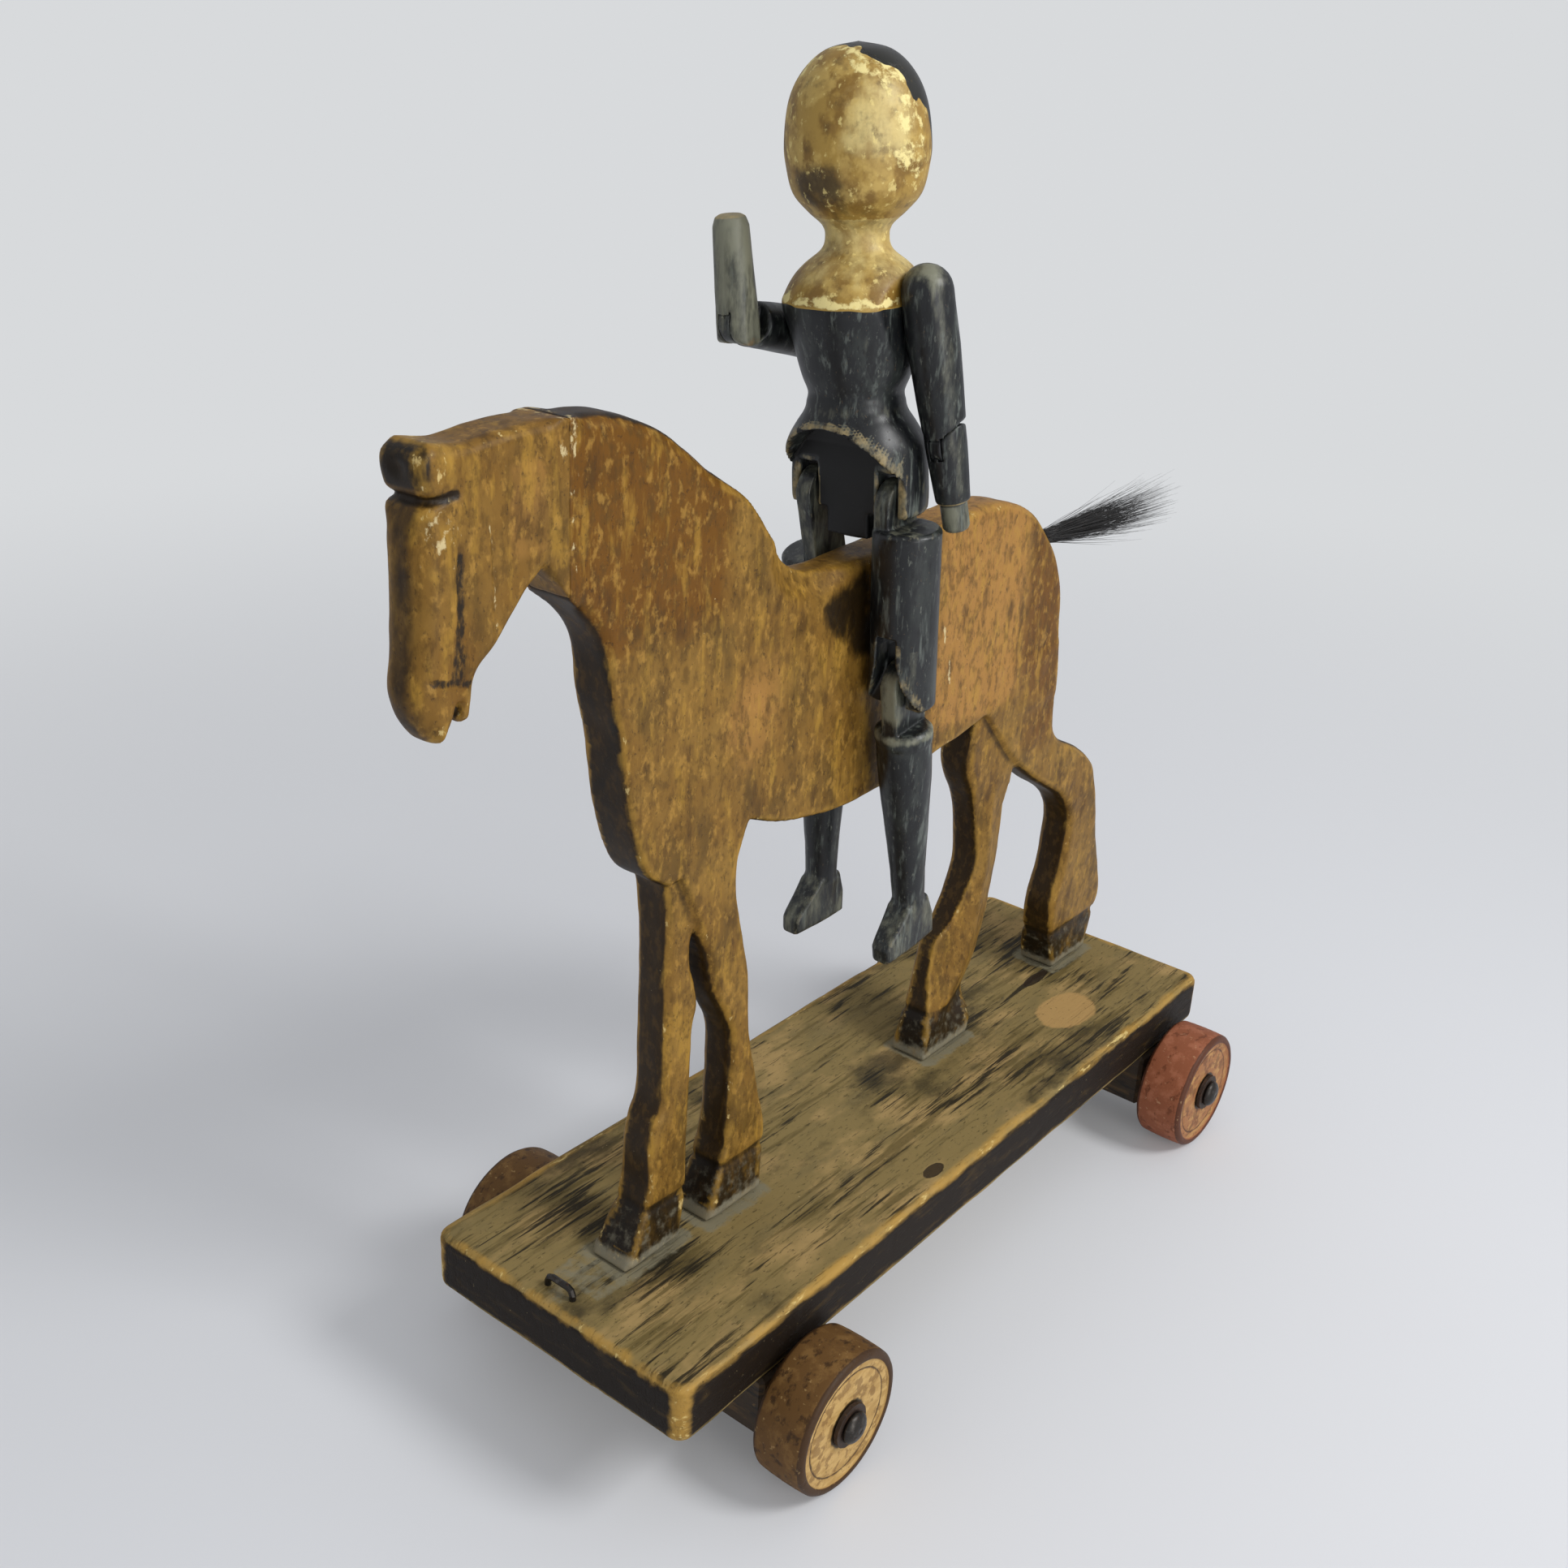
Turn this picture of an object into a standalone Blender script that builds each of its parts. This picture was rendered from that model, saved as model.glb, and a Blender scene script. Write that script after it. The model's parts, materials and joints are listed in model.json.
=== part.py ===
"""Horse pull toy: a plank horse on a wheeled board, with a pegged wooden rider.

All lengths are metres. +X runs to the horse's nose, +Y to its left, +Z up, and the wheels
stand on z = 0. The origin is under the middle of the toy. Outlines are given in millimetres
from the board's middle and top, because that is how the plank pieces are laid out.
"""

import math
import random

import bmesh
import bpy
from mathutils import Matrix, Vector
from mathutils.geometry import delaunay_2d_cdt

MM = 0.001

# Clearance between pieces that touch
GAP = 0.0003

# Board
DECK_LENGTH = 0.2427
DECK_WIDTH = 0.080
DECK_THICKNESS = 0.01535
DECK_CORNER_RADIUS = 0.0025
DECK_EDGE_WEAR = 0.0010

# Wheels, their axle nails and washers
WHEEL_RADIUS = 0.0181
WHEEL_WIDTH = 0.0143
WHEEL_RIM_WIDTH = 0.0022
WHEEL_DISH_DEPTH = 0.0006
WHEEL_EDGE = 0.0011
WHEEL_STEPS = 28
AXLE_DROP = 0.0249
FRONT_AXLE_INSET = 0.03865
REAR_AXLE_INSET = 0.02285
FRONT_AXLE_X = DECK_LENGTH / 2 - FRONT_AXLE_INSET
REAR_AXLE_X = REAR_AXLE_INSET - DECK_LENGTH / 2
AXLE_NAIL_DIAMETER = 0.0034
AXLE_NAIL_GRIP = 0.022
NAIL_HEAD_DIAMETER = 0.0080
NAIL_HEAD_HEIGHT = 0.0023
HUB_WASHER_DIAMETER = 0.0110
HUB_WASHER_THICKNESS = 0.0010
SPACER_WASHER_DIAMETER = 0.0120
SPACER_WASHER_THICKNESS = 0.0021

# Battens under the board
BLOCK_LENGTH = 0.022
BLOCK_HEIGHT = 0.017
BLOCK_NAIL_DIAMETER = 0.0024
BLOCK_NAIL_HEAD_DIAMETER = 0.0052
BLOCK_NAIL_HEAD_HEIGHT = 0.0010
BLOCK_NAIL_SPACING = 0.018
BLOCK_NAIL_GRIP = 0.009

# Staple for the pull cord
STAPLE_INSET = 0.00535
STAPLE_X = DECK_LENGTH / 2 - STAPLE_INSET
STAPLE_Y = -0.0022
STAPLE_WIDTH = 0.0080
STAPLE_HEIGHT = 0.0028
STAPLE_DEPTH = 0.0080
STAPLE_WIRE = 0.0016

# Horse plank
HORSE_THICKNESS = 0.0125
LEG_RECESS = 0.00175
PLANK_EDGE = 0.0018
SADDLE_EDGE = 0.0050
SADDLE_BACK_X = 0.008
SADDLE_FRONT_X = 0.070
SADDLE_LEVEL = 0.150
CREST_EDGE = 0.0036
HEAD_EDGE = 0.0026
HOOF_HEIGHT = 0.013
HOOF_FLARE = 0.0011
HIND_LEAN_TOP = 0.060
HIND_LEAN = 0.0033
NECK_SEAM_X = 0.1198
MUZZLE_REACH = 0.1552
OUTLINE_STEPS = 2
LEG_OUTLINE_STEPS = 1

# Dowels in the neck seam and in the hooves
DOWEL_DIAMETER = 0.0040
NECK_DOWEL_LENGTH = 0.0160
NECK_DOWEL_HEIGHTS = (0.1770, 0.1905)
HOOF_DOWEL_UP = 0.0110
HOOF_DOWEL_DOWN = 0.0090

# Horsehair tail
TAIL_ROOT_X = -0.0576
TAIL_ROOT_Y = 0.0010
TAIL_ROOT_Z = 0.1450
TAIL_SWING = math.radians(12.0)
TAIL_RISE = math.radians(3.0)
TAIL_LENGTH = 0.053
TAIL_MIDDLE = 0.45
TAIL_MIDDLE_SPREAD = 2.1
TAIL_TIP_SPREAD = 4.3
TAIL_TIP_DROOP = 0.0020
TUFT_RADIUS = 0.0017
STRAND_COUNT = 300
STRAND_RADIUS = 0.000055
TAIL_PLUG_RADIUS = 0.0026
TAIL_SLICE_THICKNESS = 0.0012
TAIL_PEG_LENGTH = 0.0070

# Rider: seat and lean of the turned torso
HIP_X = 0.0250
HIP_HEIGHT = 0.1695
LEAN_FORWARD = math.radians(2.5)
LEAN_RIGHT = math.radians(2.3)
ROUND_STEPS = 28

# Rider: hips
HIP_SLOT_OFFSET = 0.0110
HIP_SLOT_WIDTH = 0.0052
HIP_SLOT_TOP = 0.0070
HIP_TONGUE_THICKNESS = 0.0040
HIP_TONGUE_RADIUS = 0.0056
HIP_PEG_DIAMETER = 0.0030
HIP_PEG_INNER = 0.0036
HIP_PEG_OUTER = 0.0158
ARCH_FACE = 0.0035
ARCH_HALF_WIDTH = 0.0170
ARCH_CENTRE = -0.0015
ARCH_HEIGHT = 0.0184
CORE_HALF_WIDTH = 0.0058
CORE_BACK = -0.0060
CORE_BOTTOM = -0.0085
BUST_FLAT = 0.0130

# Rider: legs. The right one hangs from a longer tongue and is swung back
THIGH_DIAMETER = 0.0156
LEFT_THIGH_SHOULDER = 0.0047
RIGHT_THIGH_SHOULDER = 0.0165
LEFT_THIGH_LENGTH = 0.0425
RIGHT_THIGH_LENGTH = 0.0460
THIGH_BELOW_KNEE = 0.0050
LEFT_THIGH_SWING = math.radians(4.45)
RIGHT_THIGH_SWING = math.radians(15.0)
KNEE_SLOT_WIDTH = 0.0052
KNEE_SLOT_FRONT = 0.0135
KNEE_SLOT_BACK = 0.0075
KNEE_SCOOP_TOP = 0.0105
KNEE_SCOOP_DEPTH = 0.0026
KNEE_TONGUE_THICKNESS = 0.0044
KNEE_TONGUE_RADIUS = 0.0058
KNEE_PEG_DIAMETER = 0.0026
LEFT_SHIN_SWING = math.radians(9.8)
RIGHT_SHIN_SWING = math.radians(3.0)
SHIN_SHOULDER = 0.0110
SHIN_TOP_DIAMETER = 0.0140
SHIN_DIAMETER = 0.0132
ANKLE_DIAMETER = 0.0080
SHIN_LENGTH = 0.0616
FOOT_WIDTH = 0.0076
FOOT_DROP = 0.0116
FOOT_HEEL = -0.0058
FOOT_TOE = 0.0129

# Rider: arms
SHOULDER_X = -0.0035
SHOULDER_Y = 0.0178
SHOULDER_HEIGHT = 0.0341
LEFT_ARM_SPLAY = math.radians(4.5)
RIGHT_ARM_SPLAY = math.radians(3.0)
ARM_TOP_DIAMETER = 0.0114
ARM_ELBOW_DIAMETER = 0.0100
ARM_TOP = 0.0174
UPPER_ARM_LENGTH = 0.0214
ELBOW_TONGUE_THICKNESS = 0.0030
ELBOW_TONGUE_RADIUS = 0.0040
ELBOW_SLOT_WIDTH = 0.0036
ELBOW_SLOT_DEPTH = 0.0047
ELBOW_PEG_DIAMETER = 0.0020
LEFT_FOREARM_LENGTH = 0.0197
RIGHT_FOREARM_LENGTH = 0.0222
FOREARM_TOP_DIAMETER = 0.0094
WRIST_DIAMETER = 0.0078
HAND_DIAMETER = 0.0062
HAND_LENGTH = 0.0066
SHOULDER_PEG_DIAMETER = 0.0030
SHOULDER_PEG_INNER = 0.0040
SHOULDER_PEG_OUTER = 0.0205
LEFT_ARM_SWING = math.radians(-8.5)
RIGHT_ARM_SWING = math.radians(102.4)
LEFT_ELBOW_BEND = 0.0
RIGHT_ELBOW_BEND = math.radians(74.1)

DECK_TOP = WHEEL_RADIUS + AXLE_DROP

# Body and neck at full plank thickness, clockwise from the top of the neck seam
CREST = [(119.8, 199.8), (112, 199.4), (105, 198.3), (96.2, 195), (89.4, 191.2), (80, 184.5),
         (68.9, 177.2), (61.5, 168.8), (55.5, 162.2), (50, 158.3), (44, 156.6)]
SADDLE = [(44, 156.6), (35, 156.4), (19, 156.8), (5, 158.2)]
RUMP = [(5, 158.2), (-14, 159.9), (-28, 160.1), (-37.3, 158.5), (-46.4, 154.6), (-53.7, 148.6),
        (-60, 141.5), (-63.8, 134), (-65.4, 128), (-66.5, 118), (-68.2, 105.4), (-68.8, 99)]
HAUNCH_UNDERSIDE = [(-68.8, 99), (-52, 97), (-31.8, 102)]
BELLY = [(-31.8, 102), (-23.1, 100.2), (-13.5, 98.9), (-4.5, 97.5), (19.5, 95.8), (31.5, 95.8),
         (43.2, 97.3), (54.4, 99.8), (65.2, 103.8)]
BREAST_UNDERSIDE = [(65.2, 103.8), (78, 99), (90.8, 96.5)]
BREAST = [(90.8, 96.5), (96.6, 100.7), (100, 106.8), (102.4, 114.5), (104.5, 125.4),
          (105.6, 133.5), (107.8, 142.4), (109.4, 152.2), (112.8, 158.9), (119.8, 166.6)]
BODY_STRETCHES = [CREST, SADDLE, RUMP, HAUNCH_UNDERSIDE, BELLY, BREAST_UNDERSIDE, BREAST,
                  [(119.8, 166.6), (119.8, 199.8)]]

# Legs on the left face
LEFT_FORELEG = [[(88.6, 99.4), (84.9, 91.6), (80.9, 82.2), (77.5, 73.4), (74.6, 62.8), (71.2, 56.1),
                 (68.2, 49.3), (67.9, 37.9), (68.8, 20.5), (70.1, 15.7), (75.8, 0.3)],
                [(75.8, 0.3), (56, 0.3)],
                [(56, 0.3), (54, 17.2), (56.8, 32.5), (60.5, 47.3), (61.7, 62.9), (64.5, 75.7),
                 (67.4, 87.8), (67.2, 96.5), (64.4, 104.2)],
                [(64.4, 104.2), (64.4, 122), (88.6, 122), (88.6, 99.4)]]
LEFT_HIND_LEG = [[(-31.8, 102.4), (-38.1, 95.5), (-45.9, 86.6), (-51, 82.2), (-54.9, 79.5),
                  (-65, 72.5), (-78, 64.5), (-85.4, 56), (-87.3, 47.5), (-87, 36), (-85, 24.5),
                  (-87.2, 13), (-91, 0.3)],
                 [(-91, 0.3), (-111, 0.3)],
                 [(-111, 0.3), (-114, 10), (-117, 18), (-115, 27), (-108, 43), (-102, 60),
                  (-97.5, 69.5), (-87.6, 77.2), (-75.5, 83.5), (-70.1, 89.3), (-68.9, 97),
                  (-68.2, 105.4)],
                 [(-68.2, 105.4), (-66.6, 116), (-31.8, 116), (-31.8, 102.4)]]

# Legs on the right face
RIGHT_FORELEG = [[(90.6, 97), (89.5, 90), (89.4, 70), (89.5, 52), (90, 39.8), (92.1, 35.5),
                  (93.7, 28.6), (94.3, 15.8), (102.2, 0.3)],
                 [(102.2, 0.3), (83.5, 0.3)],
                 [(83.5, 0.3), (81.2, 11.7), (80, 25.3), (79.5, 42.5), (78.9, 56.1), (77.7, 61.4),
                  (78.5, 67.3), (80.5, 75), (79, 86), (74, 97), (70, 108)],
                 [(70, 108), (70, 120), (90.6, 120), (90.6, 97)]]
RIGHT_HIND_LEG = [[(-30.6, 102.2), (-28.6, 94), (-28.9, 85.6), (-34.9, 74.3), (-38, 62.3),
                   (-38.2, 53.4), (-34.9, 45.6), (-31, 38.8), (-25.8, 33), (-22.9, 18.9),
                   (-21, 12), (-18.5, 0.3)],
                  [(-18.5, 0.3), (-41, 0.3)],
                  [(-41, 0.3), (-46.8, 19.8), (-50.2, 30.4), (-52.6, 38.8), (-54.1, 52.3),
                   (-54.6, 63.6), (-52.9, 75.3), (-54.5, 84), (-61, 93), (-68, 101)],
                  [(-68, 101), (-66.8, 115), (-30.6, 115), (-30.6, 102.2)]]

# Head board ahead of the seam, clockwise from the top of the seam
HEAD_STRETCHES = [[(120.1, 199.8), (128, 199.8), (136.3, 199.1), (143.1, 198.3), (150.0, 199.2)],
                  [(150.0, 199.2), (152.6, 197.2), (152.9, 194), (151.6, 189.6)],
                  [(151.6, 189.6), (153.1, 184.7), (153.6, 170.7), (154.2, 162.2), (155.2, 155.4),
                   (153.6, 150.1), (150.6, 146.2), (147.9, 145.2)],
                  [(147.9, 145.2), (146.5, 147.8), (145.0, 148.6)],
                  [(145.0, 148.6), (142.9, 149.2), (142.2, 152.3), (141.1, 157.3), (136.4, 161.5),
                   (131.9, 166.2), (128.3, 170.4), (125.3, 173.0)],
                  [(125.3, 173.0), (122.4, 170.2), (120.1, 167.0)],
                  [(120.1, 167.0), (120.1, 199.8)]]

# Centre of each hoof dowel in the board's plane
HOOF_DOWELS = {
    "left_fore": (0.0650, 0.0009),
    "right_fore": (0.0905, -0.0009),
    "left_hind": (-0.1010, -0.0022),
    "right_hind": (-0.0315, -0.0009),
}

# Turned torso and head: height above the hip pegs and radius
HIPS_PROFILE = [(-2.6, 15.7), (-1.9, 16.3), (2.5, 16.4), (7, 16.2), (11, 15.9), (14, 14.9),
                (17, 13.1), (19.2, 11.4), (20.5, 11.0)]
WAIST_PROFILE = [(20.5, 11.0), (23.5, 9.9), (27.2, 11.1), (30.7, 12.4), (36, 14.4),
                 (42.0, 16.2), (44.5, 15.5), (47.8, 13.6), (50.5, 11.1), (53.3, 7.7), (55.8, 6.9),
                 (58.1, 7.4), (60.9, 10.5), (64.5, 13.6), (69.7, 15.0), (74.5, 15.4),
                 (82.5, 14.3), (88.1, 11.4), (92.1, 6.6), (93.6, 0)]

COLOURS = {
    "deck_wood": ((0.33, 0.22, 0.10), 0.70, 0.0),
    "horse_wood": ((0.35, 0.19, 0.06), 0.55, 0.0),
    "wheel_wood": ((0.30, 0.16, 0.07), 0.65, 0.0),
    "bare_wood": ((0.45, 0.31, 0.17), 0.75, 0.0),
    "black_paint": ((0.012, 0.014, 0.016), 0.45, 0.0),
    "iron": ((0.06, 0.06, 0.06), 0.45, 0.9),
    "leather": ((0.08, 0.05, 0.03), 0.70, 0.0),
    "horsehair": ((0.02, 0.018, 0.016), 0.50, 0.0),
}


def clear_scene():
    """Remove every object of the open file."""
    for item in list(bpy.data.objects):
        bpy.data.objects.remove(item, do_unlink=True)


def material(name):
    """Return the named finish as a Principled BSDF material."""
    found = bpy.data.materials.get(name)
    if found:
        return found
    colour, roughness, metallic = COLOURS[name]
    made = bpy.data.materials.new(name)
    made.use_nodes = True
    shader = made.node_tree.nodes["Principled BSDF"]
    shader.inputs["Base Color"].default_value = (*colour, 1.0)
    shader.inputs["Roughness"].default_value = roughness
    shader.inputs["Metallic"].default_value = metallic
    made.diffuse_color = (*colour, 1.0)
    return made


def empty(name, parent=None, location=(0, 0, 0), rotation=(0, 0, 0)):
    """Make a frame that pieces hang from."""
    made = bpy.data.objects.new(name, None)
    bpy.context.scene.collection.objects.link(made)
    made.parent = parent
    made.location = location
    made.rotation_euler = rotation
    return made


def place(name, mesh, finish, parent, location=(0, 0, 0), rotation=(0, 0, 0)):
    """Put a mesh into the scene as one named piece."""
    made = bpy.data.objects.new(name, mesh)
    bpy.context.scene.collection.objects.link(made)
    made.parent = parent
    made.location = location
    made.rotation_euler = rotation
    if finish and not mesh.materials:
        mesh.materials.append(material(finish))
    return made


def guide(name, mesh, parent, location=(0, 0, 0), rotation=(0, 0, 0)):
    """Put a mesh into the scene as a cutter or a joined shape that isn't a piece itself."""
    made = place(name, mesh, None, parent, location, rotation)
    made.hide_render = True
    made.display_type = "WIRE"
    return made


def combine(target, operation, tools):
    """Union or cut a piece with each of the tools."""
    for tool in tools:
        step = target.modifiers.new(f"{operation.lower()}_{tool.name}", "BOOLEAN")
        step.operation = operation
        step.solver = "EXACT"
        step.object = tool


def finished_mesh(name, shape, sharp=35.0):
    """Turn a bmesh into a mesh that is shaded smooth except along sharp edges."""
    bmesh.ops.recalc_face_normals(shape, faces=shape.faces)
    mesh = bpy.data.meshes.new(name)
    shape.to_mesh(mesh)
    shape.free()
    mesh.shade_smooth()
    mesh.set_sharp_from_angle(angle=math.radians(sharp))
    return mesh


def curve_through(points, steps):
    """Sample a smooth curve through the points, with the given steps from point to point."""
    if len(points) < 3:
        return list(points)
    first = (2 * points[0][0] - points[1][0], 2 * points[0][1] - points[1][1])
    last = (2 * points[-1][0] - points[-2][0], 2 * points[-1][1] - points[-2][1])
    padded = [first, *points, last]
    samples = []
    for index in range(len(points) - 1):
        before, start, end, after = padded[index:index + 4]
        for step in range(steps):
            samples.append(between(before, start, end, after, step / steps))
    samples.append(points[-1])
    return samples


def between(before, start, end, after, share):
    """Return the Catmull-Rom point at a share of the way from start to end."""
    square = share * share
    cube = square * share
    weights = (-0.5 * cube + square - 0.5 * share, 1.5 * cube - 2.5 * square + 1,
               -1.5 * cube + 2 * square + 0.5 * share, 0.5 * cube - 0.5 * square)
    corners = (before, start, end, after)
    return tuple(sum(w * p[axis] for w, p in zip(weights, corners)) for axis in (0, 1))


def outline_of(stretches, steps=OUTLINE_STEPS):
    """Join curved stretches into one closed outline in metres, sharp where they meet."""
    outline = []
    for stretch in stretches:
        straight = len(stretch) < 3 or stretch[0][0] == stretch[1][0]
        samples = list(stretch) if straight else curve_through(stretch, steps)
        outline.extend(samples[:-1])
    return [(x * MM, z * MM) for x, z in outline]


def prism(outline, low, high):
    """Make a slab whose outline lies in X and Z and whose faces are at y = low and high."""
    shape = bmesh.new()
    ring = [shape.verts.new((x, low, z)) for x, z in outline]
    face = shape.faces.new(ring)
    lifted = bmesh.ops.extrude_face_region(shape, geom=[face])["geom"]
    moved = [item for item in lifted if isinstance(item, bmesh.types.BMVert)]
    bmesh.ops.translate(shape, verts=moved, vec=(0, high - low, 0))
    return shape


def box(low, high):
    """Make a box from its lowest to its highest corner."""
    shape = bmesh.new()
    bmesh.ops.create_cube(shape, size=1.0)
    size = [b - a for a, b in zip(low, high)]
    centre = [(a + b) / 2 for a, b in zip(low, high)]
    bmesh.ops.scale(shape, verts=shape.verts, vec=size)
    bmesh.ops.translate(shape, verts=shape.verts, vec=centre)
    return shape


def turned(profile, steps, closed=False):
    """Spin a profile of (radius, height) about Z, from its lowest to its highest point."""
    shape = bmesh.new()
    line = [shape.verts.new((radius, 0, height)) for radius, height in profile]
    edges = [shape.edges.new(pair) for pair in zip(line, line[1:])]
    if closed:
        edges.append(shape.edges.new((line[-1], line[0])))
    bmesh.ops.spin(shape, geom=line + edges, cent=(0, 0, 0), axis=(0, 0, 1), dvec=(0, 0, 0),
                   angle=2 * math.pi, steps=steps, use_merge=True)
    bmesh.ops.remove_doubles(shape, verts=shape.verts, dist=1e-7)
    return shape


def along_y(shape):
    """Lay a shape that was turned about Z over, so that its top points to +Y."""
    bmesh.ops.rotate(shape, verts=shape.verts, cent=(0, 0, 0),
                     matrix=Matrix.Rotation(-math.pi / 2, 3, "X"))
    return shape


def rod(name, diameter, low, high, steps=12, lay_over=True):
    """Make a plain round rod along Y, or upright, from low to high."""
    radius = diameter / 2
    shape = turned([(0, low), (radius, low), (radius, high), (0, high)], steps)
    if lay_over:
        along_y(shape)
    return finished_mesh(name, shape)


def bored(diameter):
    """Return the bore that a rod of this diameter turns or slides in."""
    return diameter + 2 * GAP


def bevel(item, width, segments=2, angle=40.0):
    """Round the sharp edges of a piece."""
    step = item.modifiers.new("rounded_edges", "BEVEL")
    step.width = width
    step.segments = segments
    step.limit_method = "ANGLE"
    step.angle_limit = math.radians(angle)
    return step


def face_edges(shape):
    """List the edges between a slab's two flat faces and its sawn sides."""
    found = []
    for edge in shape.edges:
        tilts = sorted(abs(face.normal.y) for face in edge.link_faces)
        if len(tilts) == 2 and tilts[0] < 0.5 and tilts[1] > 0.9:
            found.append(edge)
    return found


def weigh_edges(shape, widths):
    """Give each face edge of a slab its share of the widest rounding, by the place it is at."""
    layer = shape.edges.layers.float.new("bevel_weight_edge")
    shape.normal_update()
    for edge in face_edges(shape):
        middle = (edge.verts[0].co + edge.verts[1].co) / 2
        edge[layer] = widths(middle) / SADDLE_EDGE


def weighted_bevel(item, segments=2):
    """Round a plank's edges by their weights."""
    step = item.modifiers.new("worn_edges", "BEVEL")
    step.width = SADDLE_EDGE
    step.segments = segments
    step.limit_method = "WEIGHT"
    return step


def board(origin):
    """Make the long board, with its worn corners and edges."""
    half_length = DECK_LENGTH / 2
    half_width = DECK_WIDTH / 2
    outline = []
    for side_x, side_y, start in ((1, 1, 0), (-1, 1, 90), (-1, -1, 180), (1, -1, 270)):
        centre_x = side_x * (half_length - DECK_CORNER_RADIUS)
        centre_y = side_y * (half_width - DECK_CORNER_RADIUS)
        for turn in (0, 45, 90):
            angle = math.radians(start + turn)
            outline.append((centre_x + DECK_CORNER_RADIUS * math.cos(angle),
                            centre_y + DECK_CORNER_RADIUS * math.sin(angle)))
    shape = bmesh.new()
    face = shape.faces.new([shape.verts.new((x, y, -DECK_THICKNESS)) for x, y in outline])
    lifted = bmesh.ops.extrude_face_region(shape, geom=[face])["geom"]
    moved = [item for item in lifted if isinstance(item, bmesh.types.BMVert)]
    bmesh.ops.translate(shape, verts=moved, vec=(0, 0, DECK_THICKNESS))
    deck = place("base_board", finished_mesh("base_board", shape), "deck_wood", origin)
    bevel(deck, DECK_EDGE_WEAR, angle=60.0)
    return deck


def upright_bore(name, parent, place_at, diameter, low, high):
    """Make a cutter for an upright round hole."""
    mesh = rod(name, diameter, low, high, lay_over=False)
    return guide(name, mesh, parent, (place_at[0], place_at[1], 0))


def axle_block(name, origin, deck, axle_x):
    """Make a batten under the board, its two nails and the holes for its axle nails."""
    top = -DECK_THICKNESS - GAP
    bottom = top - BLOCK_HEIGHT
    half = BLOCK_LENGTH / 2
    shape = box((-half, -DECK_WIDTH / 2, bottom), (half, DECK_WIDTH / 2, top))
    block = place(name, finished_mesh(name, shape), "deck_wood", origin, (axle_x, 0, 0))
    bevel(block, DECK_EDGE_WEAR, segments=1)
    shank_top = -DECK_THICKNESS + BLOCK_NAIL_GRIP
    nail = [(0, -BLOCK_NAIL_HEAD_HEIGHT), (BLOCK_NAIL_HEAD_DIAMETER / 2, -BLOCK_NAIL_HEAD_HEIGHT),
            (BLOCK_NAIL_HEAD_DIAMETER / 2, 0), (BLOCK_NAIL_DIAMETER / 2, 0),
            (BLOCK_NAIL_DIAMETER / 2, shank_top - bottom + GAP), (0, shank_top - bottom + GAP)]
    mesh = finished_mesh(f"{name}_nail", turned(nail, 12))
    for side, sign in (("left", 1), ("right", -1)):
        spot = (axle_x, sign * BLOCK_NAIL_SPACING / 2)
        place(f"{name}_nail_{side}", mesh, "iron", origin, (*spot, bottom - GAP))
        bore = upright_bore(f"{name}_nail_bore_{side}", origin, spot, bored(BLOCK_NAIL_DIAMETER),
                            bottom - GAP, shank_top + GAP)
        combine(block, "DIFFERENCE", [bore])
        combine(deck, "DIFFERENCE", [bore])
    return block


def wheel_mesh():
    """Turn a wheel about Y: domed tread, rim band and a shallow dish on each face."""
    half = WHEEL_WIDTH / 2
    bore = bored(AXLE_NAIL_DIAMETER) / 2
    dish = half - WHEEL_DISH_DEPTH
    rim = WHEEL_RADIUS - WHEEL_RIM_WIDTH
    shoulder = WHEEL_RADIUS - WHEEL_EDGE / 2
    profile = [(bore, -dish), (rim - WHEEL_DISH_DEPTH, -dish), (rim, -half),
               (WHEEL_RADIUS - WHEEL_EDGE, -half), (shoulder, -half + WHEEL_EDGE),
               (WHEEL_RADIUS, 0), (shoulder, half - WHEEL_EDGE), (WHEEL_RADIUS - WHEEL_EDGE, half),
               (rim, half), (rim - WHEEL_DISH_DEPTH, dish), (bore, dish)]
    return finished_mesh("wheel", along_y(turned(profile, WHEEL_STEPS, closed=True)), 25.0)


def washer_mesh(name, diameter, thickness, steps=16):
    """Make a flat washer about Y that the axle nail passes."""
    bore = bored(AXLE_NAIL_DIAMETER) / 2
    profile = [(bore, 0), (diameter / 2, 0), (diameter / 2, thickness), (bore, thickness)]
    return finished_mesh(name, along_y(turned(profile, steps, closed=True)))


def axle_nail_mesh(shank):
    """Make an axle nail about Y: its head's seat is at y = 0 and its shank runs to -Y."""
    radius = AXLE_NAIL_DIAMETER / 2
    head = NAIL_HEAD_DIAMETER / 2
    profile = [(0, -shank - radius), (radius * 0.5, -shank), (radius, -shank + radius),
               (radius, 0), (head, 0)]
    for turn in (20, 45, 70):
        angle = math.radians(turn)
        profile.append((head * math.cos(angle), NAIL_HEAD_HEIGHT * math.sin(angle)))
    profile.append((0, NAIL_HEAD_HEIGHT))
    return finished_mesh("axle_nail", along_y(turned(profile, 16)))


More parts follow.
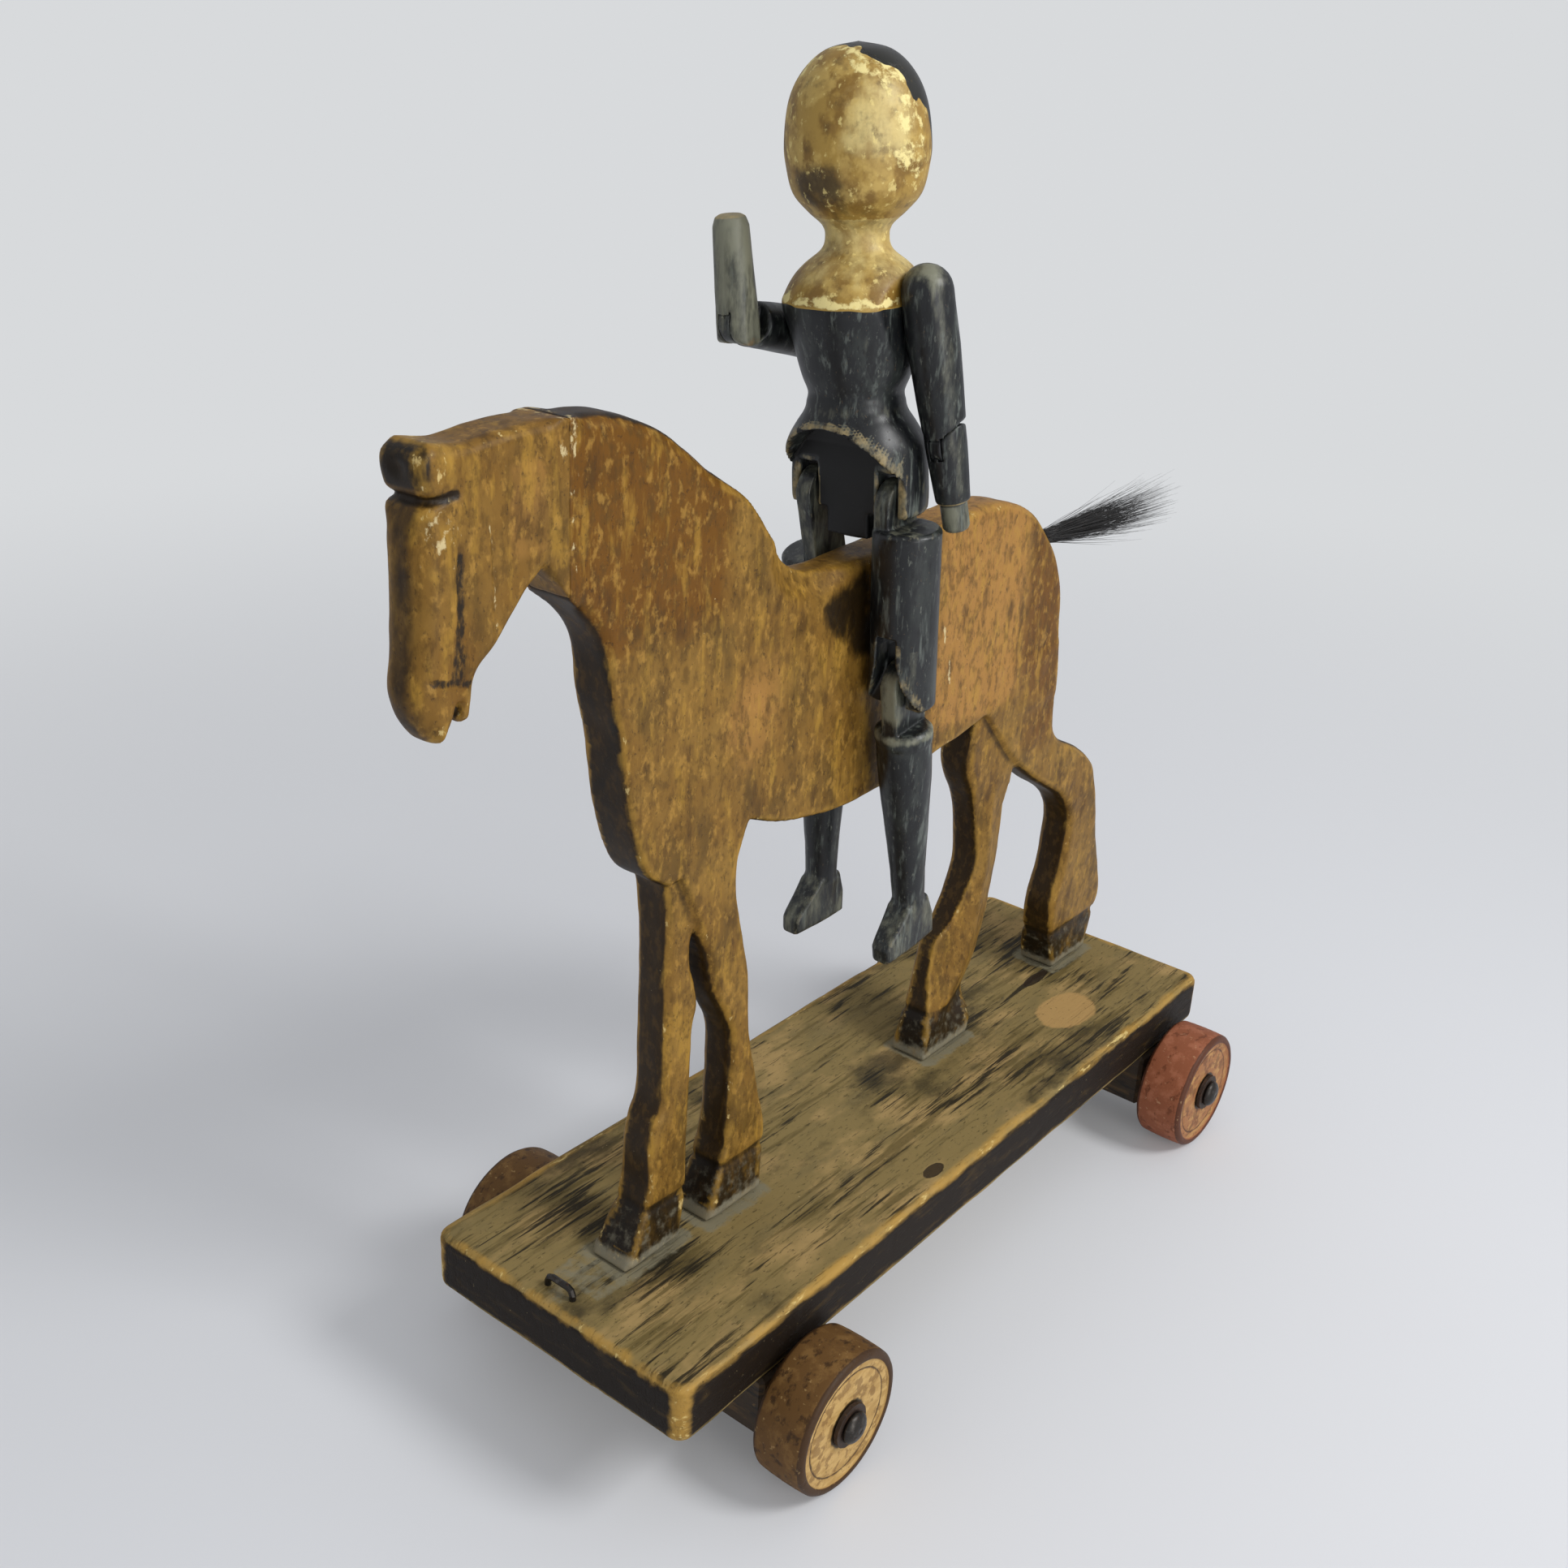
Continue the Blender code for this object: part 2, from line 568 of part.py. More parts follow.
def running_gear(origin, deck):
    """Make the battens, wheels, nails and washers."""
    block_end = DECK_WIDTH / 2
    spacer_seat = block_end + GAP
    wheel_seat = spacer_seat + SPACER_WASHER_THICKNESS + GAP
    washer_seat = wheel_seat + WHEEL_WIDTH - WHEEL_DISH_DEPTH + GAP
    head_seat = washer_seat + HUB_WASHER_THICKNESS + GAP
    shank = head_seat - block_end + AXLE_NAIL_GRIP
    wheel = wheel_mesh()
    hub_washer = washer_mesh("hub_washer", HUB_WASHER_DIAMETER, HUB_WASHER_THICKNESS)
    spacer = washer_mesh("spacer_washer", SPACER_WASHER_DIAMETER, SPACER_WASHER_THICKNESS)
    nail = axle_nail_mesh(shank)
    for end, axle_x in (("front", FRONT_AXLE_X), ("rear", REAR_AXLE_X)):
        block = axle_block(f"{end}_axle_block", origin, deck, axle_x)
        for side, sign in (("left", 1), ("right", -1)):
            turn = 0 if sign > 0 else math.pi
            axle = empty(f"{end}_{side}_axle", origin, (axle_x, 0, -AXLE_DROP), (0, 0, turn))
            label = f"{end}_{side}"
            wheel_centre = wheel_seat + WHEEL_WIDTH / 2
            place(f"{label}_wheel", wheel, "wheel_wood", axle, (0, wheel_centre, 0))
            place(f"{label}_hub_washer", hub_washer, "iron", axle, (0, washer_seat, 0))
            place(f"{label}_spacer_washer", spacer, "leather", axle, (0, spacer_seat, 0))
            place(f"{label}_axle_nail", nail, "iron", axle, (0, head_seat, 0))
            depth = AXLE_NAIL_GRIP + AXLE_NAIL_DIAMETER / 2 + GAP
            bore_mesh = rod(f"{label}_axle_bore", bored(AXLE_NAIL_DIAMETER),
                            block_end - depth, block_end + GAP, 16)
            combine(block, "DIFFERENCE", [guide(f"{label}_axle_bore", bore_mesh, axle)])


def pull_staple(origin, deck):
    """Bend the wire staple at the board's front edge and bore its two holes."""
    half = STAPLE_WIDTH / 2
    shoulder = STAPLE_WIRE
    path = [(-half, -STAPLE_DEPTH), (-half, STAPLE_HEIGHT - shoulder),
            (-half + shoulder * 0.3, STAPLE_HEIGHT - shoulder * 0.3),
            (-half + shoulder, STAPLE_HEIGHT), (half - shoulder, STAPLE_HEIGHT),
            (half - shoulder * 0.3, STAPLE_HEIGHT - shoulder * 0.3),
            (half, STAPLE_HEIGHT - shoulder), (half, -STAPLE_DEPTH)]
    wire = bpy.data.curves.new("pull_staple", "CURVE")
    wire.dimensions = "3D"
    wire.bevel_depth = STAPLE_WIRE / 2
    wire.bevel_resolution = 2
    wire.use_fill_caps = True
    spline = wire.splines.new("POLY")
    spline.points.add(len(path) - 1)
    for point, (y, z) in zip(spline.points, path):
        point.co = (0, y, z, 1)
    place("pull_staple", wire, "iron", origin, (STAPLE_X, STAPLE_Y, 0))
    for side, sign in (("left", 1), ("right", -1)):
        bore = upright_bore(f"staple_bore_{side}", origin, (STAPLE_X, STAPLE_Y + sign * half),
                            bored(STAPLE_WIRE), -STAPLE_DEPTH - GAP, GAP)
        combine(deck, "DIFFERENCE", [bore])


def body_edge(spot):
    """Return how widely the plank's edge is rounded here: most along the saddle."""
    if spot.z > SADDLE_LEVEL and SADDLE_BACK_X < spot.x < SADDLE_FRONT_X:
        return SADDLE_EDGE
    if spot.z > SADDLE_LEVEL and spot.x > SADDLE_FRONT_X:
        return CREST_EDGE
    return PLANK_EDGE


def head_edge(_spot):
    """Return how widely the carved head's edge is rounded."""
    return HEAD_EDGE


def leg_edge(_spot):
    """Return how widely a leg's edge is rounded."""
    return PLANK_EDGE


def slab(name, stretches, low, high, widths):
    """Saw a plank piece from its outline."""
    shape = prism(outline_of(stretches), low, high)
    weigh_edges(shape, widths)
    return finished_mesh(name, shape)


def leg_mesh(name, stretches, low, high, lean):
    """Saw a leg, flare its hoof and lean its lower part sideways."""
    shape = prism(outline_of(stretches, LEG_OUTLINE_STEPS), low, high)
    for height in (HOOF_HEIGHT, HIND_LEAN_TOP):
        everything = list(shape.verts) + list(shape.edges) + list(shape.faces)
        bmesh.ops.bisect_plane(shape, geom=everything, plane_co=(0, 0, height),
                               plane_no=(0, 0, 1), dist=1e-7)
    middle = (low + high) / 2
    for vertex in shape.verts:
        side = math.copysign(1.0, vertex.co.y - middle)
        vertex.co.y += side * HOOF_FLARE * max(0.0, 1 - vertex.co.z / HOOF_HEIGHT)
        vertex.co.y -= lean * max(0.0, 1 - vertex.co.z / HIND_LEAN_TOP)
    weigh_edges(shape, leg_edge)
    return finished_mesh(name, shape)


def horse(origin, deck):
    """Make the plank horse: body with legs, head board, dowels and tail."""
    half = HORSE_THICKNESS / 2
    flush = half - GAP / 10
    inner = half - LEG_RECESS
    mesh = slab("horse_body", BODY_STRETCHES, -half, half, body_edge)
    body = place("horse_body", mesh, "horse_wood", origin)
    weighted_bevel(body)
    legs = {
        "left_fore": (LEFT_FORELEG, -inner, flush, 0.0),
        "left_hind": (LEFT_HIND_LEG, -inner, flush, HIND_LEAN),
        "right_fore": (RIGHT_FORELEG, -flush, inner, 0.0),
        "right_hind": (RIGHT_HIND_LEG, -flush, inner, 0.0),
    }
    for name, (stretches, low, high, lean) in legs.items():
        leg = guide(f"{name}_leg", leg_mesh(name, stretches, low, high, lean), origin)
        weighted_bevel(leg, 1)
        combine(body, "UNION", [leg])
    mesh = slab("horse_head", HEAD_STRETCHES, -half, half, head_edge)
    head = place("horse_head", mesh, "horse_wood", origin)
    weighted_bevel(head)
    neck_dowels(origin, body, head)
    hoof_dowels(origin, body, deck)
    tail(origin, body)


def neck_dowels(origin, body, head):
    """Make the two dowels across the neck seam and their holes."""
    reach = NECK_DOWEL_LENGTH / 2
    lay = (0, math.pi / 2, 0)
    for place_name, height in zip(("lower", "upper"), NECK_DOWEL_HEIGHTS):
        spot = (NECK_SEAM_X + GAP / 2, 0, height)
        mesh = rod(f"neck_dowel_{place_name}", DOWEL_DIAMETER, -reach, reach, lay_over=False)
        place(f"neck_dowel_{place_name}", mesh, "bare_wood", origin, spot, lay)
        bore_mesh = rod(f"neck_bore_{place_name}", bored(DOWEL_DIAMETER), -reach - GAP,
                        reach + GAP, lay_over=False)
        bore = guide(f"neck_bore_{place_name}", bore_mesh, origin, spot, lay)
        combine(body, "DIFFERENCE", [bore])
        combine(head, "DIFFERENCE", [bore])


def hoof_dowels(origin, body, deck):
    """Make the dowels that hold the hooves to the board and their holes."""
    for name, spot in HOOF_DOWELS.items():
        mesh = rod(f"{name}_hoof_dowel", DOWEL_DIAMETER, -HOOF_DOWEL_DOWN, HOOF_DOWEL_UP,
                   lay_over=False)
        place(f"{name}_hoof_dowel", mesh, "bare_wood", origin, (*spot, 0))
        bore = upright_bore(f"{name}_hoof_bore", origin, spot, bored(DOWEL_DIAMETER),
                            -HOOF_DOWEL_DOWN - GAP, HOOF_DOWEL_UP + GAP)
        combine(body, "DIFFERENCE", [bore])
        combine(deck, "DIFFERENCE", [bore])


def strand_roots():
    """Spread the strands' roots over the tuft like seeds in a sunflower head."""
    golden = math.pi * (3 - math.sqrt(5))
    roots = []
    for index in range(STRAND_COUNT):
        radius = TUFT_RADIUS * math.sqrt((index + 0.5) / STRAND_COUNT)
        roots.append((radius * math.cos(index * golden), radius * math.sin(index * golden)))
    return roots


def fan(root, corner, share):
    """Place a strand's point at a share of the tail's length, fanned out and drooping."""
    if share < TAIL_MIDDLE:
        spread = 1 + (TAIL_MIDDLE_SPREAD - 1) * share / TAIL_MIDDLE
        droop = 0.0
    else:
        beyond = (share - TAIL_MIDDLE) / (1 - TAIL_MIDDLE)
        spread = TAIL_MIDDLE_SPREAD + (TAIL_TIP_SPREAD - TAIL_MIDDLE_SPREAD) * beyond
        droop = TAIL_TIP_DROOP * beyond
    return (root[0] * spread + corner[0] + droop, root[1] * spread + corner[1],
            share * TAIL_LENGTH)


def tail_hair_mesh():
    """Grow three-sided strands from a thin slice of their glued root, all one body.

    Every strand follows the same fan, which only widens and droops as a whole, so no two
    strands cross. The slice's face is triangulated around the strands' feet.
    """
    rng = random.Random(11)
    shape = bmesh.new()
    roots = strand_roots()
    corners = [(STRAND_RADIUS * math.cos(a), STRAND_RADIUS * math.sin(a))
               for a in (0.0, 2 * math.pi / 3, 4 * math.pi / 3)]
    rim = [(TAIL_PLUG_RADIUS * math.cos(a), TAIL_PLUG_RADIUS * math.sin(a))
           for a in (2 * math.pi * step / 20 for step in range(20))]
    flat = [fan(root, corner, 0.0)[:2] for root in roots for corner in corners] + rim
    feet = [shape.verts.new((x, y, 0)) for x, y in flat]
    close_slice(shape, feet, flat, len(roots))
    for index, root in enumerate(roots):
        foot = feet[3 * index:3 * index + 3]
        reach = rng.uniform(0.72, 1.0)
        middle = [shape.verts.new(fan(root, corner, TAIL_MIDDLE)) for corner in corners]
        tip = shape.verts.new(fan(root, (0, 0), reach))
        for side in range(3):
            after = (side + 1) % 3
            shape.faces.new((foot[side], foot[after], middle[after], middle[side]))
            shape.faces.new((middle[side], middle[after], tip))
    return finished_mesh("tail_hair", shape)


def close_slice(shape, feet, flat, strands):
    """Triangulate the slice's face around the strands' feet and close its side and back."""
    count = len(flat)
    edges = [(3 * i + a, 3 * i + (a + 1) % 3) for i in range(strands) for a in range(3)]
    rim = list(range(3 * strands, count))
    edges += list(zip(rim, rim[1:] + rim[:1]))
    scaled = [Vector((x / MM, y / MM)) for x, y in flat]
    found, _, faces, origins, _, _ = delaunay_2d_cdt(scaled, edges, [], 0, 1e-7)
    for face in faces:
        sources = [origins[corner][0] for corner in face]
        owners = {source // 3 for source in sources}
        if len(owners) > 1 or sources[0] >= 3 * strands:
            shape.faces.new([feet[source] for source in sources])
    front = [feet[source] for source in rim]
    back = [shape.verts.new((v.co.x, v.co.y, -TAIL_SLICE_THICKNESS)) for v in front]
    for index in range(len(rim)):
        after = (index + 1) % len(rim)
        shape.faces.new((front[index], back[index], back[after], front[after]))
    shape.faces.new(back)


def tail(origin, body):
    """Fit the hair tuft and its peg into their hole in the rump."""
    turn = (0, -math.pi / 2 + TAIL_RISE, math.pi - math.pi - TAIL_SWING)
    root = empty("tail_root", origin, (TAIL_ROOT_X, TAIL_ROOT_Y, TAIL_ROOT_Z), turn)
    place("tail_hair", tail_hair_mesh(), "horsehair", root)
    peg_top = -TAIL_SLICE_THICKNESS - GAP
    peg = rod("tail_peg", 2 * TAIL_PLUG_RADIUS, peg_top - TAIL_PEG_LENGTH, peg_top,
              lay_over=False)
    place("tail_peg", peg, "bare_wood", root)
    bore = rod("tail_bore", bored(2 * TAIL_PLUG_RADIUS), peg_top - TAIL_PEG_LENGTH - GAP,
               TAIL_PLUG_RADIUS * 3, 20, lay_over=False)
    combine(body, "DIFFERENCE", [guide("tail_bore", bore, root)])


def torso_profile():
    """Return the turned torso's (radius, height) from the hips' underside to the crown."""
    samples = curve_through(HIPS_PROFILE, 1)[:-1] + curve_through(WAIST_PROFILE, 1)
    profile = [(radius * MM, height * MM) for height, radius in samples]
    return [(0, profile[0][1]), *profile[:-1], (0, profile[-1][1])]


def arch_cutter(lean):
    """Make the cutter of the hips' front arch."""
    outline = []
    for step in range(17):
        angle = math.pi * step / 16
        outline.append((ARCH_HALF_WIDTH * math.cos(angle),
                        ARCH_CENTRE + ARCH_HEIGHT * math.sin(angle)))
    outline.append((-ARCH_HALF_WIDTH, CORE_BOTTOM * 2))
    outline.append((ARCH_HALF_WIDTH, CORE_BOTTOM * 2))
    shape = prism(outline, 0, 2 * ARCH_HALF_WIDTH)
    bmesh.ops.rotate(shape, verts=shape.verts, cent=(0, 0, 0),
                     matrix=Matrix.Rotation(-math.pi / 2, 3, "Z"))
    bmesh.ops.translate(shape, verts=shape.verts, vec=(ARCH_FACE, 0, 0))
    return guide("hip_arch", finished_mesh("hip_arch", shape), lean)


def torso(lean):
    """Make the torso and head, with its arch, slots, flats and peg holes."""
    mesh = finished_mesh("rider_torso", turned(torso_profile(), ROUND_STEPS), 30.0)
    body = place("rider_torso", mesh, "black_paint", lean)
    wide = 2 * ARCH_HALF_WIDTH
    core = box((CORE_BACK, -CORE_HALF_WIDTH, CORE_BOTTOM), (wide, CORE_HALF_WIDTH, 0))
    combine(body, "UNION", [guide("hip_core", finished_mesh("hip_core", core), lean)])
    combine(body, "DIFFERENCE", [arch_cutter(lean)])
    flat_low = SHOULDER_HEIGHT - ARM_TOP_DIAMETER
    flat_high = SHOULDER_HEIGHT + ARM_TOP
    for side, sign in (("left", 1), ("right", -1)):
        near = sign * (HIP_SLOT_OFFSET - HIP_SLOT_WIDTH / 2)
        far = sign * (HIP_SLOT_OFFSET + HIP_SLOT_WIDTH / 2)
        slot = box((-wide, min(near, far), 2 * CORE_BOTTOM), (wide, max(near, far), HIP_SLOT_TOP))
        flat = box((-wide, min(sign * BUST_FLAT, sign * wide), flat_low),
                   (wide, max(sign * BUST_FLAT, sign * wide), flat_high))
        hip = rod(f"hip_bore_{side}", bored(HIP_PEG_DIAMETER), *span(sign, HIP_PEG_INNER - GAP, wide))
        arm = rod(f"shoulder_bore_{side}", bored(SHOULDER_PEG_DIAMETER),
                  *span(sign, SHOULDER_PEG_INNER - GAP, wide))
        tools = [guide(f"hip_slot_{side}", finished_mesh("hip_slot", slot), lean),
                 guide(f"bust_flat_{side}", finished_mesh("bust_flat", flat), lean),
                 guide(f"hip_bore_{side}", hip, lean),
                 guide(f"shoulder_bore_{side}", arm, lean, (SHOULDER_X, 0, SHOULDER_HEIGHT))]
        combine(body, "DIFFERENCE", tools)
        peg = rod(f"hip_peg_{side}", HIP_PEG_DIAMETER, *span(sign, HIP_PEG_INNER, HIP_PEG_OUTER))
        place(f"hip_peg_{side}", peg, "bare_wood", lean)
        peg = rod(f"shoulder_peg_{side}", SHOULDER_PEG_DIAMETER,
                  *span(sign, SHOULDER_PEG_INNER, SHOULDER_PEG_OUTER))
        place(f"shoulder_peg_{side}", peg, "bare_wood", lean, (SHOULDER_X, 0, SHOULDER_HEIGHT))


def span(sign, near, far):
    """Return a stretch along Y from near to far on one side, lowest end first."""
    return sorted((sign * near, sign * far))


def tongue(name, parent, thickness, radius, shoulder, offset=0.0, upward=True):
    """Make the flat tongue of a joint: round about the pivot, running into its limb."""
    low = offset - thickness / 2
    high = offset + thickness / 2
    arc = [math.pi * step / 10 for step in range(11)]
    outline = [(radius * math.cos(a), radius * math.sin(a)) for a in arc]
    outline += [(-radius, -shoulder), (radius, -shoulder)]
    if not upward:
        outline = [(x, -z) for x, z in outline]
    shape = prism(outline, low, high)
    return guide(name, finished_mesh(name, shape), parent)


def thigh(side, sign, hip, shoulder, length, bend):
    """Make a thigh with its hip tongue, open knee slot and scooped front."""
    radius = THIGH_DIAMETER / 2
    bottom = -length - THIGH_BELOW_KNEE
    edge = radius * 0.9
    profile = [(0, bottom), (edge, bottom), (radius, bottom + radius - edge),
               (radius, -shoulder - radius + edge), (edge, -shoulder), (0, -shoulder)]
    name = f"{side}_thigh"
    mesh = finished_mesh(name, turned(profile, ROUND_STEPS))
    limb = place(name, mesh, "black_paint", hip)
    offset = -sign * (THIGH_DIAMETER / 2 + HORSE_THICKNESS / 2 + GAP - HIP_SLOT_OFFSET)
    joint = tongue(f"{name}_tongue", hip, HIP_TONGUE_THICKNESS, HIP_TONGUE_RADIUS,
                   shoulder + HIP_TONGUE_THICKNESS, offset)
    bore = rod(f"{name}_bore", bored(HIP_PEG_DIAMETER), -radius, radius)
    knee = empty(f"{side}_knee", limb, (0, 0, -length), (0, bend, 0))
    combine(limb, "UNION", [joint])
    combine(limb, "DIFFERENCE", [guide(f"{name}_bore", bore, hip, (0, offset, 0)),
                                 knee_slot(name, hip, length), knee_scoop(name, hip, length)])
    reach = math.sqrt(radius ** 2 - (KNEE_PEG_DIAMETER / 2) ** 2) - GAP
    peg = rod(f"{side}_knee_peg", KNEE_PEG_DIAMETER, -reach, reach)
    place(f"{side}_knee_peg", peg, "bare_wood", knee)
    peg_bore = rod(f"{name}_knee_bore", bored(KNEE_PEG_DIAMETER), -radius * 2, radius * 2)
    peg_bore = guide(f"{name}_knee_bore", peg_bore, knee)
    combine(limb, "DIFFERENCE", [peg_bore])
    shin(side, knee, peg_bore)


def knee_slot(name, hip, length):
    """Make the cutter of the knee's slot, deeper at the front."""
    radius = THIGH_DIAMETER / 2
    low = -THIGH_BELOW_KNEE - radius
    wide = radius * 1.2
    outline = [(-wide, low), (-wide, KNEE_SLOT_BACK), (wide, KNEE_SLOT_FRONT), (wide, low)]
    shape = prism(outline, -KNEE_SLOT_WIDTH / 2, KNEE_SLOT_WIDTH / 2)
    mesh = finished_mesh(f"{name}_slot", shape)
    return guide(f"{name}_slot", mesh, hip, (0, 0, -length))


def knee_scoop(name, hip, length):
    """Make the cutter of the bell-shaped hollow in the front of the knee."""
    low = -THIGH_BELOW_KNEE - GAP
    half = KNEE_SLOT_WIDTH / 2
    flare = THIGH_DIAMETER / 2 - half
    sides = []
    for step in range(5):
        share = step / 4
        sides.append((half + flare * share ** 2, KNEE_SCOOP_TOP + (low - KNEE_SCOOP_TOP) * share))
    outline = sides + [(-width, level) for width, level in reversed(sides)]
    shape = prism(outline, KNEE_SCOOP_DEPTH, THIGH_DIAMETER)
    bmesh.ops.rotate(shape, verts=shape.verts, cent=(0, 0, 0),
                     matrix=Matrix.Rotation(-math.pi / 2, 3, "Z"))
    mesh = finished_mesh(f"{name}_scoop", shape)
    return guide(f"{name}_scoop", mesh, hip, (0, 0, -length))


def shin(side, knee, peg_bore):
    """Make a lower leg: knee tongue, turned shin and carved foot."""
    name = f"{side}_lower_leg"
    top = SHIN_TOP_DIAMETER / 2
    rim = 0.0010
    profile = [(0, -SHIN_LENGTH - 0.004), (ANKLE_DIAMETER / 2 * 0.8, -SHIN_LENGTH - 0.004),
               (ANKLE_DIAMETER / 2, -SHIN_LENGTH), (ANKLE_DIAMETER / 2 * 1.1, -SHIN_LENGTH + 0.010),
               (SHIN_DIAMETER / 2 * 0.86, -SHIN_LENGTH + 0.027),
               (SHIN_DIAMETER / 2, -SHIN_SHOULDER - 0.009), (top, -SHIN_SHOULDER - 0.003),
               (top, -SHIN_SHOULDER - rim), (top - rim, -SHIN_SHOULDER), (0, -SHIN_SHOULDER)]
    limb = place(name, finished_mesh(name, turned(profile, 20)), "black_paint", knee)
    joint = tongue(f"{name}_tongue", knee, KNEE_TONGUE_THICKNESS, KNEE_TONGUE_RADIUS,
                   SHIN_SHOULDER + 0.002)
    combine(limb, "UNION", [joint, foot(name, knee)])
    combine(limb, "DIFFERENCE", [peg_bore])


def foot(name, knee):
    """Carve the foot as a bevelled block square to the shin."""
    sole = -SHIN_LENGTH - FOOT_DROP
    ankle = ANKLE_DIAMETER / 2
    outline = [(FOOT_HEEL, sole), (FOOT_HEEL, sole + 0.0065), (-ankle, sole + 0.0125),
               (ankle, sole + 0.0125), (FOOT_TOE * 0.6, sole + 0.0088), (FOOT_TOE, sole + 0.0050),
               (FOOT_TOE, sole)]
    shape = prism(outline, -FOOT_WIDTH / 2, FOOT_WIDTH / 2)
    made = guide(f"{name}_foot", finished_mesh(f"{name}_foot", shape), knee)
    bevel(made, 0.0014, segments=1, angle=30.0)
    return made


def arm(side, sign, lean, swing, splay, bend):
    """Make one arm on its shoulder pivot: upper arm, elbow peg and forearm."""
    pivot = empty(f"{side}_shoulder", lean, (SHOULDER_X, sign * SHOULDER_Y, SHOULDER_HEIGHT),
                  (0, -swing, 0))
    upper = upper_arm(side, sign, pivot, splay)
    elbow = empty(f"{side}_elbow", upper, (0, 0, -UPPER_ARM_LENGTH), (0, -bend, 0))
    half = FOREARM_TOP_DIAMETER / 2
    reach = math.sqrt(half ** 2 - (ELBOW_PEG_DIAMETER / 2) ** 2) - GAP
    peg = rod(f"{side}_elbow_peg", ELBOW_PEG_DIAMETER, -reach, reach)
    place(f"{side}_elbow_peg", peg, "bare_wood", elbow)
    bore = rod(f"{side}_elbow_bore", bored(ELBOW_PEG_DIAMETER), -half * 2, half * 2)
    bore = guide(f"{side}_elbow_bore", bore, elbow)
    combine(upper, "DIFFERENCE", [bore])
    if sign > 0:
        profile = hand_profile(LEFT_FOREARM_LENGTH)
    else:
        profile = stump_profile(RIGHT_FOREARM_LENGTH)
    combine(forearm(side, elbow, profile), "DIFFERENCE", [bore])


def upper_arm(side, sign, pivot, splay):
    """Make an upper arm: round top, flat against the bust, tongue at the elbow."""
    name = f"{side}_upper_arm"
    top = ARM_TOP_DIAMETER / 2
    low = ARM_ELBOW_DIAMETER / 2
    shoulder = FOREARM_TOP_DIAMETER / 2 + GAP
    end = -UPPER_ARM_LENGTH + shoulder
    profile = [(0, end), (low - 0.0006, end), (low, end + 0.0006), (top, 0)]
    for turn in (0, 30, 60):
        angle = math.radians(turn)
        profile.append((top * math.cos(angle), ARM_TOP - top + top * math.sin(angle)))
    profile.append((0, ARM_TOP))
    mesh = finished_mesh(name, turned(profile, 20))
    limb = place(name, mesh, "black_paint", pivot, (0, 0, 0), (sign * splay, 0, 0))
    joint = tongue(f"{name}_tongue", limb, ELBOW_TONGUE_THICKNESS, ELBOW_TONGUE_RADIUS,
                   shoulder + ELBOW_TONGUE_THICKNESS / 2, upward=False)
    joint.location = (0, 0, -UPPER_ARM_LENGTH)
    combine(limb, "UNION", [joint])
    inner = SHOULDER_Y - BUST_FLAT - GAP
    wide = 3 * ARM_TOP
    near, far = span(-sign, inner, wide)
    flat = finished_mesh(f"{name}_flat", box((-wide, near, -wide), (wide, far, wide)))
    depth = SHOULDER_PEG_OUTER - SHOULDER_Y + GAP
    low_end, high_end = sorted((-sign * wide, sign * depth))
    hole = rod(f"{name}_peg_bore", bored(SHOULDER_PEG_DIAMETER), low_end, high_end)
    combine(limb, "DIFFERENCE", [guide(f"{name}_flat", flat, pivot),
                                 guide(f"{name}_peg_bore", hole, pivot)])
    return limb


def hand_profile(length):
    """Return a forearm's (radius, height) where a carved hand block ends it."""
    hand = HAND_DIAMETER / 2
    wrist = WRIST_DIAMETER / 2
    seat = -length + HAND_LENGTH
    return [(0, -length), (hand * 0.8, -length), (hand, -length + hand * 0.3), (hand, seat),
            (wrist, seat + (wrist - hand) / 2)]


def stump_profile(length):
    """Return a forearm's (radius, height) where its plain tapered end is rounded."""
    wrist = WRIST_DIAMETER / 2
    return [(0, -length), (wrist * 0.6, -length), (wrist * 0.9, -length + wrist * 0.2),
            (wrist, -length + wrist * 0.6)]


def forearm(side, elbow, profile):
    """Make a forearm from its outer end's profile, with a fork round the elbow's tongue."""
    name = f"{side}_forearm"
    top = FOREARM_TOP_DIAMETER / 2
    for turn in (0, 25, 50, 72):
        angle = math.radians(turn)
        profile.append((top * math.cos(angle), top * math.sin(angle)))
    profile.append((0, top))
    limb = place(name, finished_mesh(name, turned(profile, 20)), "black_paint", elbow)
    half = ELBOW_SLOT_WIDTH / 2
    slot = box((-top * 2, -half, -ELBOW_SLOT_DEPTH), (top * 2, half, top * 2))
    combine(limb, "DIFFERENCE", [guide(f"{name}_slot", finished_mesh(f"{name}_slot", slot), elbow)])
    return limb


